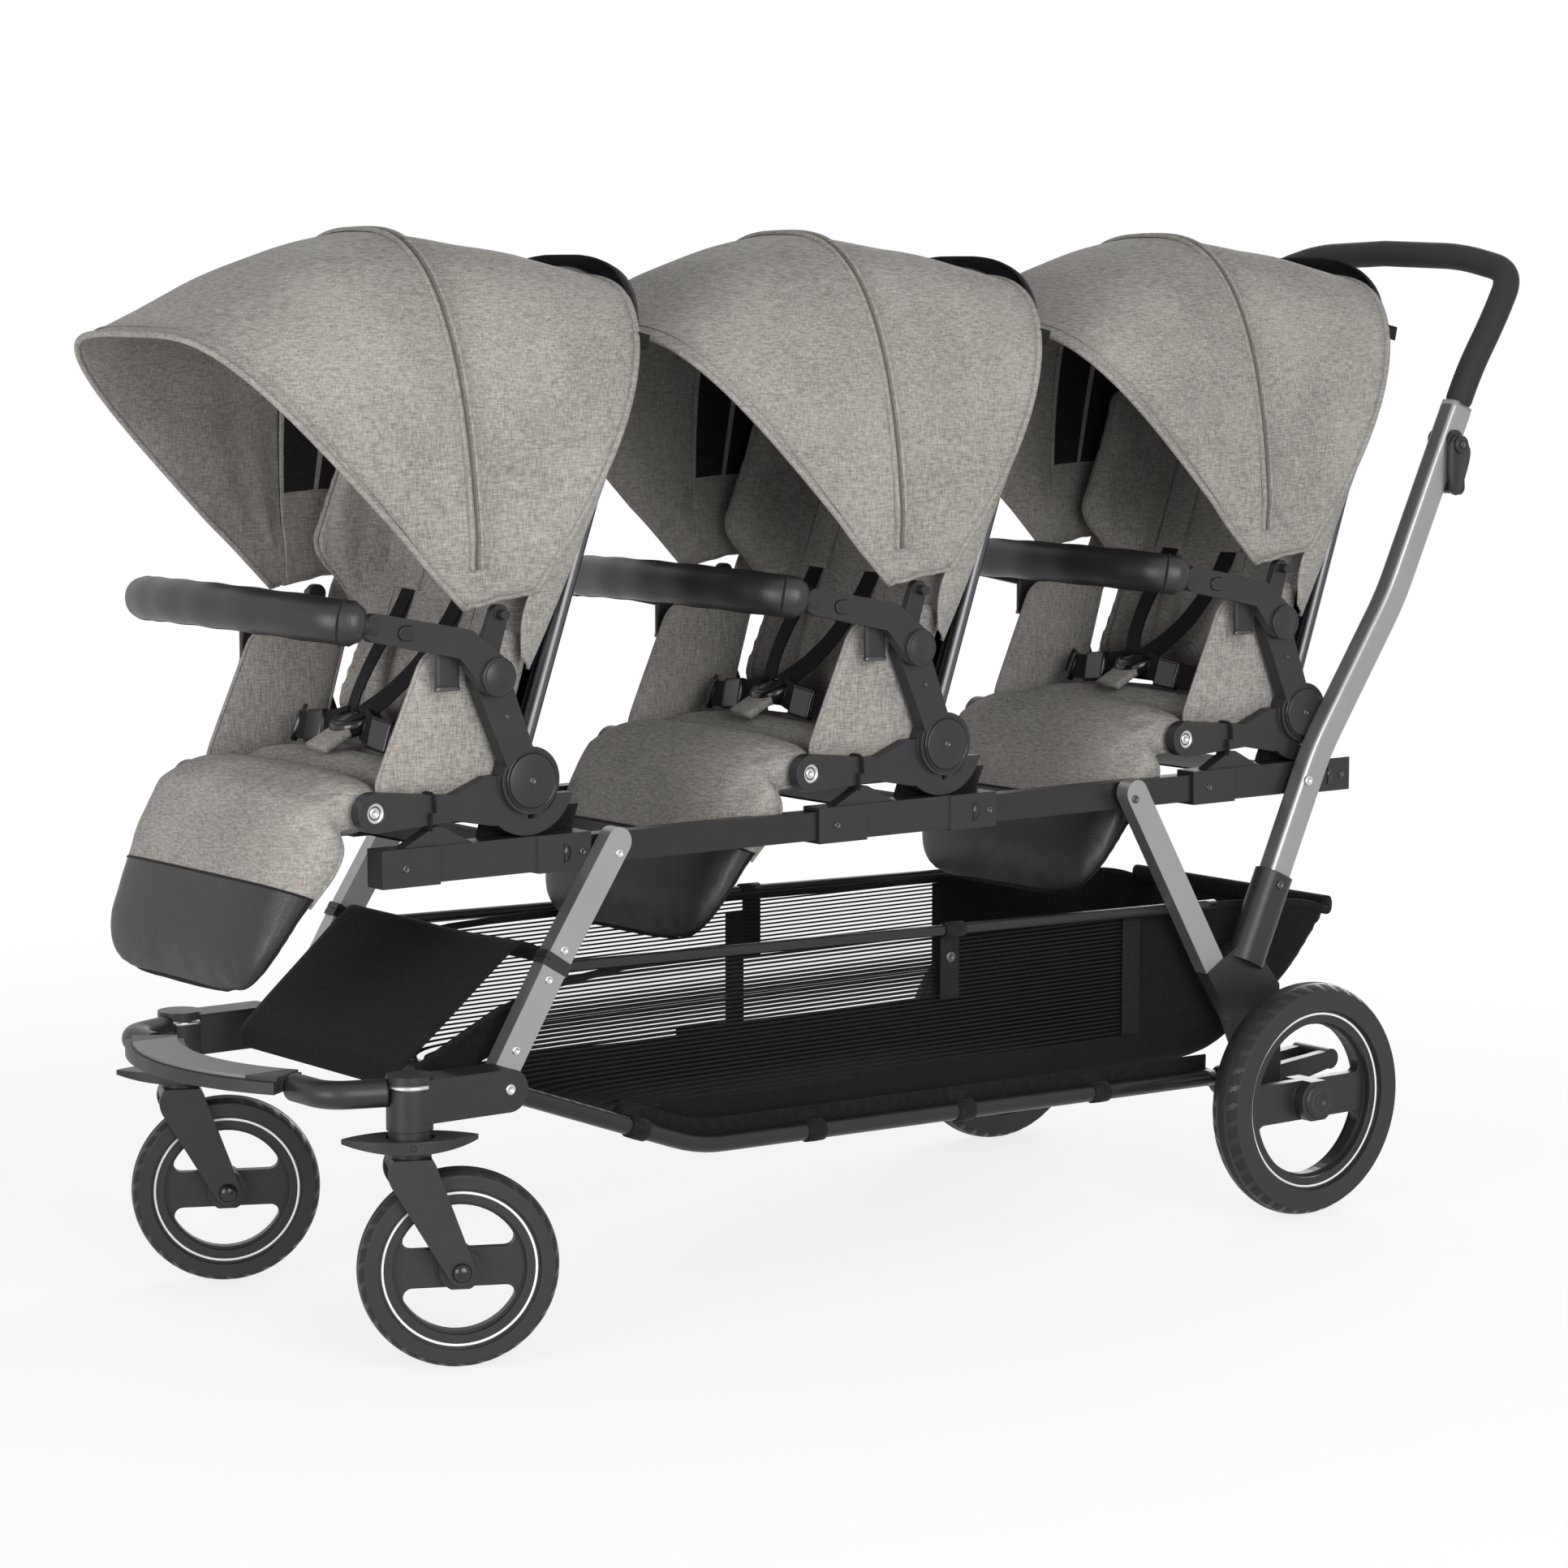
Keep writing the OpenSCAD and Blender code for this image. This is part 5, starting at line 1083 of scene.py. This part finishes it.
def makeBasketNet():
    # across = |cos|^(2/power), depth = |sin|^(2/power) between the top and bottom lines, with a slow wave of sag
    b = basket
    m, n = b["rows"], b["cols"]
    along = np.linspace(*b["x"], m)
    low = np.interp(along, *spaced(smoothed(b["bottom"], 3), 300).T)
    high = np.interp(along, *spaced(smoothed(b["top"], 2), 300).T)
    r = np.linspace(0, np.pi, n)
    y = np.sign(np.cos(r)) * np.abs(np.cos(r)) ** (2 / b["power"])
    d = np.abs(np.sin(r)) ** (2 / b["power"])
    g = np.stack([np.broadcast_to(along[:, None], (m, n)), np.broadcast_to(b["halfWidth"] * y, (m, n)),
                  high[:, None] + (low - high)[:, None] * d], -1)
    depth = np.minimum(1, (high - low) / 120)[:, None]
    g[..., 2] -= b["sag"] * depth * (1 - y[None] ** 2) * d * (0.6 + 0.4 * np.sin(along / 70.0)[:, None])
    g = np.stack([spaced(row, n) for row in g])
    # open net only between the floor, the rear part and the front gusset
    mid = (g[:-1, :-1] + g[1:, 1:]) / 2
    x, z = mid[..., 0], mid[..., 2]
    dense = (z < b["netLow"]) | (x < b["netRear"]) | (x > b["gussetX"] - b["gussetSlope"] * z)
    o = finishMesh("BasketNet", g.reshape(-1, 3), quadsOf(m, n, False).tolist(), [netting, denseNet],
                   dense.ravel().astype(int), body="chassis", slot="basket_mesh")
    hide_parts("basket")
    # bindings along the top edges, and a hem that reaches down to the lower rails
    hem = spaced(lowerRail[lowerRail[:, 0] < b["hemEnd"]][:, [0, 2]], 80)
    edges = []
    for s in (1, -1):
        path = np.stack([hem[:, 0], np.full(80, b["hemY"] * s), hem[:, 1] + 10], -1)
        edges.append(part(sweep(path, superRing(16, 6, 1.3, 15), (0, 0, 1))))
    for e in (0, -1):
        edges.append(part(sweep(g[:, e], superRing(12, 3, 4.0, 2.2), (0, 1, 0))))
    assemble("BasketBinding", edges, [blackCloth], "chassis", "webbing")


def makeBasketCover():
    # the line of the cover carried across, narrower to the front and dipping by sin * (1 - across^2)
    m, n = basket["coverRows"], basket["coverCols"]
    w = np.linspace(-1, 1, n)[None, :]
    u = np.linspace(0, 1, m)[:, None]
    line = spaced(smoothed(basket["cover"], 2), m)[:, None]
    half = np.interp(u, [0, 0.2, 1], [166, 162, 152])
    drop = 5 * np.sin(np.pi * u) * (1 - w ** 2) + 1.2 * np.sin(np.pi * u) * np.sin(5 * w + 3 * u)
    g = np.stack([np.broadcast_to(line[..., 0], (m, n)) - drop * 0.5, half * w,
                  np.broadcast_to(line[..., 1], (m, n)) - drop], -1)
    o = finishMesh("BasketCover", *sheetGeometry(g, basket["coverCloth"])[:2], [blackCloth], body="chassis",
                   slot="webbing")
    x, z = basket["roll"]
    roll = np.linspace((x, -basket["halfWidth"], z), (x, basket["halfWidth"], z), 60)
    assemble("BasketRearRoll", [part(sweep(roll, superRing(24, 2.4, 8.0, 11.0), (0, 0, 1)))], [blackCloth], "chassis",
             "webbing")


def makeBasketStraps():
    # flat straps; those outside the tub loop over the upper rail with a snap,
    # and short loops tie the hem to the lower rail
    parts = []
    for x, y, low, high in basket["straps"]:
        parts.append(part(sweep(np.linspace((x, y, low), (x, y, high), 20), superRing(12, 6, 1.3, 13), (1, 0, 0))))
        if abs(y) > 170:
            s = np.sign(y)
            parts += [hoop([(6.2, -13), (8.4, -13), (8.4, 13), (6.2, 13)], (x, 182 * s, 359.6), (1, 0, 0.02), 32),
                      bolt(6.5, 2.4, (x, y + 1.2 * s, 329), (0, s, 0), 24, 1, socket=0.2)]
    railX, _, railZ = lowerRail[::-1].T
    for x in basket["loops"]:
        before, z, after = np.interp([x - 5, x, x + 5], railX, railZ)
        for s in (1, -1):
            loop = [(9.4, -12), (11.6, -11), (11.9, 0), (11.6, 11), (9.4, 12)]
            tail = np.linspace((x, 166.5 * s, z + 4), (x, 164.5 * s, z + 22), 6)
            parts += [hoop(loop, (x, 176 * s, z), (10, 0, after - before), 40),
                      part(sweep(tail, superRing(12, 6, 1.2, 11), (1, 0, 0)))]
    assemble("BasketStraps", parts, [webbing, darkSteel], "chassis", "webbing")


makeBasketNet()
makeBasketCover()
makeBasketStraps()
print("basket done")

# wheels, each as centre, axle, radius, width, rim edge radius, tread depth and number of blocks
casterAxle = (0.43837, 0.89879, 0)
wheels = {"front_wheel_left": ((665.66, 244.17, 99.5), casterAxle, 99.5, 34.0, 76.0, 6.0, 30),
          "front_wheel_right": ((665.66, -203.83, 99.5), casterAxle, 99.5, 34.0, 76.0, 6.0, 30),
          "rear_wheel_left": ((-468, 269, 133), (0, 1, 0), 133.0, 40.0, 99.0, 7.0, 40),
          "rear_wheel_right": ((-468, -269, 133), (0, 1, 0), 133.0, 40.0, 99.0, 7.0, 40)}
tyre = {"thick": 3.2, "runDepth": 1.5, "runAt": 0.17, "crossDepth": 1.4, "crossFrom": (0.2, 0.26), "slant": 2.2}


def makeTyre(name, centre, axis, r, w, flange, tread, blocks):
    # radius = crown of the tyre, less grooves that run round and across;
    # a white ring on the rim's edge, a cap on rear hubs
    centre, axis = np.asarray(centre, float), unit(np.array(axis, float))
    e1 = unit(np.cross((0, 0, 1.0), axis))
    e2 = np.cross(axis, e1)
    t = np.linspace(-w / 2 + 0.4, w / 2 - 0.4, 45)
    a = np.linspace(0, 2 * np.pi, blocks * 8 + 1)[:-1, None]
    away = np.abs(t)[None]
    crown = r - tread - 0.6 * w + np.sqrt(np.maximum((tread + 0.6 * w) ** 2 - t ** 2, 0))[None]
    groove = tyre["runDepth"] * np.exp(-(np.abs(away - w * tyre["runAt"]) / 1.1) ** 2)
    near, far = (w * k for k in tyre["crossFrom"])
    cross = (tyre["crossDepth"] * ramp(np.cos(a * blocks + tyre["slant"] * away / w * np.pi), 0.72, 0.95) *
             ramp(away, near, far))
    outer = crown + 0.1 - groove - cross
    inner = np.broadcast_to(crown - tyre["thick"], outer.shape)
    around = np.cos(a)[..., None] * e1 + np.sin(a)[..., None] * e2
    shell, under = (centre + rad[..., None] * around + t[None, :, None] * axis for rad in (outer, inner))
    title = name.replace("_", " ").title().replace(" ", "")
    finishMesh(title + "Tread", *closedRing(np.concatenate([shell, under[:, ::-1]], 1), centre), [rubber], body=name,
               slot="wheel")
    rings = []
    for s in (1, -1):
        h, face = s * (0.36 * w + 0.5), w / 2
        edge = [(flange - 1.3, h - s * 1.5), (flange - 1.3, h), (flange + 1.1, h), (flange + 1.1, h - s * 1.5)]
        rings.append(hoop(edge, centre, axis, 120))
        if "rear" in name:
            cap = [(0.01, 2.6), (8, 2.6), (8.6, 3.8), (17, 3.6), (19.5, 1.8), (19.8, 0)]
            rings.append(part(spun([(q, s * (face + k)) for q, k in cap], centre, axis, 40), 1))
    assemble(title + "Trim", rings, [stripe, plastic], name, "wheel")


for name, row in wheels.items():
    makeTyre(name, *row)
print("wheels done")

# side plate and boss on each release lever, outside the handle tube; places are (x, z)
lever = {"plate": [(-735, 868), (-741, 877), (-754, 878), (-765, 868),
                   (-771, 854), (-752, 806), (-741, 808), (-735, 824)],
         "y": 217.4, "boss": (-750, 866), "bossY": 222.8, "screwY": 227.8,
         "layers": ((0.0, 0.0), (0.0, 4.6), (0.05, 5.6))}


def makeLevers():
    # the outline at each layer's height, drawn in towards its middle
    p = spaced(smoothed(lever["plate"] + lever["plate"][:1], 2), 60)[:-1]
    x, z = lever["boss"]
    parts = []
    for s in (1, -1):
        flat = [p + (p.mean(0) - p) * k for k, _ in lever["layers"]]
        rings = [np.stack([q[:, 0], np.full(len(q), s * (lever["y"] + h)), q[:, 1]], -1)
                 for q, (_, h) in zip(flat, lever["layers"])]
        parts += [part(np.stack(rings)), bolt(10.5, 5.0, (x, s * lever["bossY"], z), (0, s, 0), 40, socket=0.3),
                  bolt(4.0, 1.4, (x, s * lever["screwY"], z), (0, s, 0), 20, 1)]
    assemble("LeverPlates", parts, [plastic, darkSteel], "release_levers", "black_plastic")


# screws, caps and half-moon marks on the chassis, each row as x, y, z, head radius, height, sides and finish
screws = {"legs": [(443, 206.4, 484, 4.6, 1.6, 20, 0), (511, 206.4, 392, 4.6, 1.6, 20, 0),
                   (530, 206.4, 364, 4.6, 1.6, 20, 0), (570, 206.4, 297, 4.6, 1.6, 20, 0)],
          "strut": (-259, 206.4, 485, 4.6, 1.6, 20, 1), "handle": (-517, 215.6, 488, 6.0, 3.4, 24, 0),
          "sleeves": [148, -62], "sleeveY": 187.9, "sleeveZ": 486.8, "moonX": -39, "moonR": 10, "moonY": (187.6, 188.9),
          "casting": (604, 245.9, 268, 5.6, 2.0, 24, 0), "socket": (-470, 221.0, 372, 5.0, 2.0, 20, 1),
          "stem": (707, 224, 281), "stemBand": [(22.8, -2.6), (23.5, -2.6), (23.5, 2.6), (22.8, 2.6)],
          "forkCap": [(9.5, 0), (9.5, 2.6), (8.0, 5.4), (4.5, 7.0), (0.01, 7.4)], "forkGap": 11}


def screwHead(s, x, y, z, r, h, count, kind):
    # a bolt head that looks out from side s
    return bolt(r, h, (x, s * y, z), (0, s, 0), count, kind)


def makeScrews():
    # bolt heads on both sides, a half disc on each sleeve, a bright band round each stem, caps on the fork bolts
    q = screws
    parts = []
    for s in (1, -1):
        parts += [screwHead(s, *row) for row in (*q["legs"], q["strut"], q["handle"])]
        for hx in seats.values():
            parts += [screwHead(s, hx + x, q["sleeveY"], q["sleeveZ"], 4.0, 1.3, 18, 1) for x in q["sleeves"]]
            w = np.linspace(-np.pi / 2, np.pi / 2, 20)
            moon = np.stack([hx + q["moonX"] - q["moonR"] * np.cos(w) * 0.8, 0 * w,
                             q["sleeveZ"] + q["moonR"] * np.sin(w)], -1)
            parts.append(part(np.stack([moon + (0, s * y, 0) for y in q["moonY"]]), 2))
        x, y, z = q["stem"]
        parts += [screwHead(s, *q["casting"]), hoop(q["stemBand"], (x, s * y, z), (0, 0, 1), 64),
                  screwHead(s, *q["socket"])]
    assemble("ChassisScrews", parts, [bright, darkSteel, gloss], "chassis", "axle_steel")
    for side in ("left", "right"):
        centre, axis, r, w = wheels["front_wheel_" + side][:4]
        out = [np.array(axis) * s for s in (1, -1)]
        ends = [part(spun(q["forkCap"], np.array(centre) + d * (w / 2 + q["forkGap"]), d, 32)) for d in out]
        assemble("ForkCaps" + side.title(), ends, [gloss], "caster_" + side, "axle_steel")


makeLevers()
makeScrews()
print("levers and screws done")

# finishes of the solids that stay
seatFinish = {"frame": plastic, "back_frame": darkSteel, "bumper_bar": plastic, "bar_button_left": gloss,
              "bar_button_right": gloss}
finishes = {f"{seat}_seat_{piece}": mat for seat in seats for piece, mat in seatFinish.items()}
finishes.update({"seat_rails": paint, "front_legs": alu, "rear_struts": alu, "footboard": treadPad,
                 "rear_axle": darkSteel})
for name in ("seat_adapters", "leg_knuckles", "release_levers", "rear_castings", "front_castings", "brake_pedal",
             "caster_fork_left", "caster_fork_right", "swivel_lock_left", "swivel_lock_right", *wheels):
    finishes[name] = plastic
for name, mat in finishes.items():
    nodes[name].data.materials.clear()
    nodes[name].data.materials.append(mat)
print("finishes done")

# pale floor and soft studio light, in metres; lamps as place, power and width
studio = {"floorHalf": 60, "floorColour": (0.95, 0.95, 0.95, 1), "floorRough": 0.9, "fadeFrom": 0.9, "fadeTo": 2.6,
          "fadeLeast": 0.8, "ambient": 0.4, "aim": (0, 0, 0.5)}
lamps = {"key": ((1.0, 4.0, 1.6), 120.0, 2.4), "fill": ((4.2, 1.2, 1.0), 80.0, 1.8),
         "back": ((-3.2, -1.8, 1.6), 60.0, 2.0)}
white = (1, 1, 1, 1)


def seenStraight(tree):
    # 1 for rays from the camera, through clear shaders and off gloss, 0 for the rest
    rays = tree.nodes.new("ShaderNodeLightPath").outputs
    direct = maths(tree, "MAXIMUM", rays["Is Camera Ray"], rays["Is Transmission Ray"])
    return maths(tree, "MAXIMUM", direct, rays["Is Glossy Ray"])


half = studio["floorHalf"]
floorMesh = bpy.data.meshes.new("floor")
floorMesh.from_pydata([(-half, -half, 0), (half, -half, 0), (half, half, 0), (-half, half, 0)], [], [(0, 1, 2, 3)])
floorObj = bpy.data.objects.new("floor", floorMesh)
scene.collection.objects.link(floorObj)
floorMat, tree, shader, at = baseMaterial("paleFloor")
feed(tree, shader, {"Base Color": studio["floorColour"], "Roughness": studio["floorRough"]})
# away from the object the floor is plain white to the camera
far = put(tree, "ShaderNodeVectorMath", {0: at}, operation="LENGTH").outputs["Value"]
fade = mapped(tree, far, studio["fadeFrom"], studio["fadeTo"], studio["fadeLeast"], interpolation_type="SMOOTHSTEP")
share = maths(tree, "MULTIPLY", fade, seenStraight(tree))
glow = put(tree, "ShaderNodeEmission", {"Color": white, "Strength": 1.0})
both = put(tree, "ShaderNodeMixShader", {0: share, 1: shader.outputs[0], 2: glow.outputs[0]})
feed(tree, next(n for n in tree.nodes if n.type == "OUTPUT_MATERIAL"), {0: both.outputs[0]})
floorMesh.materials.append(floorMat)

world = bpy.data.worlds.new("studio")
scene.world = world
world.use_nodes = True
tree = world.node_tree
tree.nodes.clear()
plain, seen = (put(tree, "ShaderNodeBackground", {"Color": white, "Strength": k}).outputs[0]
               for k in (studio["ambient"], 1.0))
pick = put(tree, "ShaderNodeMixShader", {0: seenStraight(tree), 1: plain, 2: seen})
put(tree, "ShaderNodeOutputWorld", {0: pick.outputs[0]})
for name, (place, power, width) in lamps.items():
    lamp = bpy.data.lights.new(name, "AREA")
    lamp.energy = power
    lamp.size = width
    lampObj = bpy.data.objects.new(name, lamp)
    lampObj.location = place
    lampObj.rotation_euler = (Vector(studio["aim"]) - Vector(place)).to_track_quat("-Z", "Y").to_euler()
    scene.collection.objects.link(lampObj)
print("floor and light done")

bpy.context.view_layer.update()
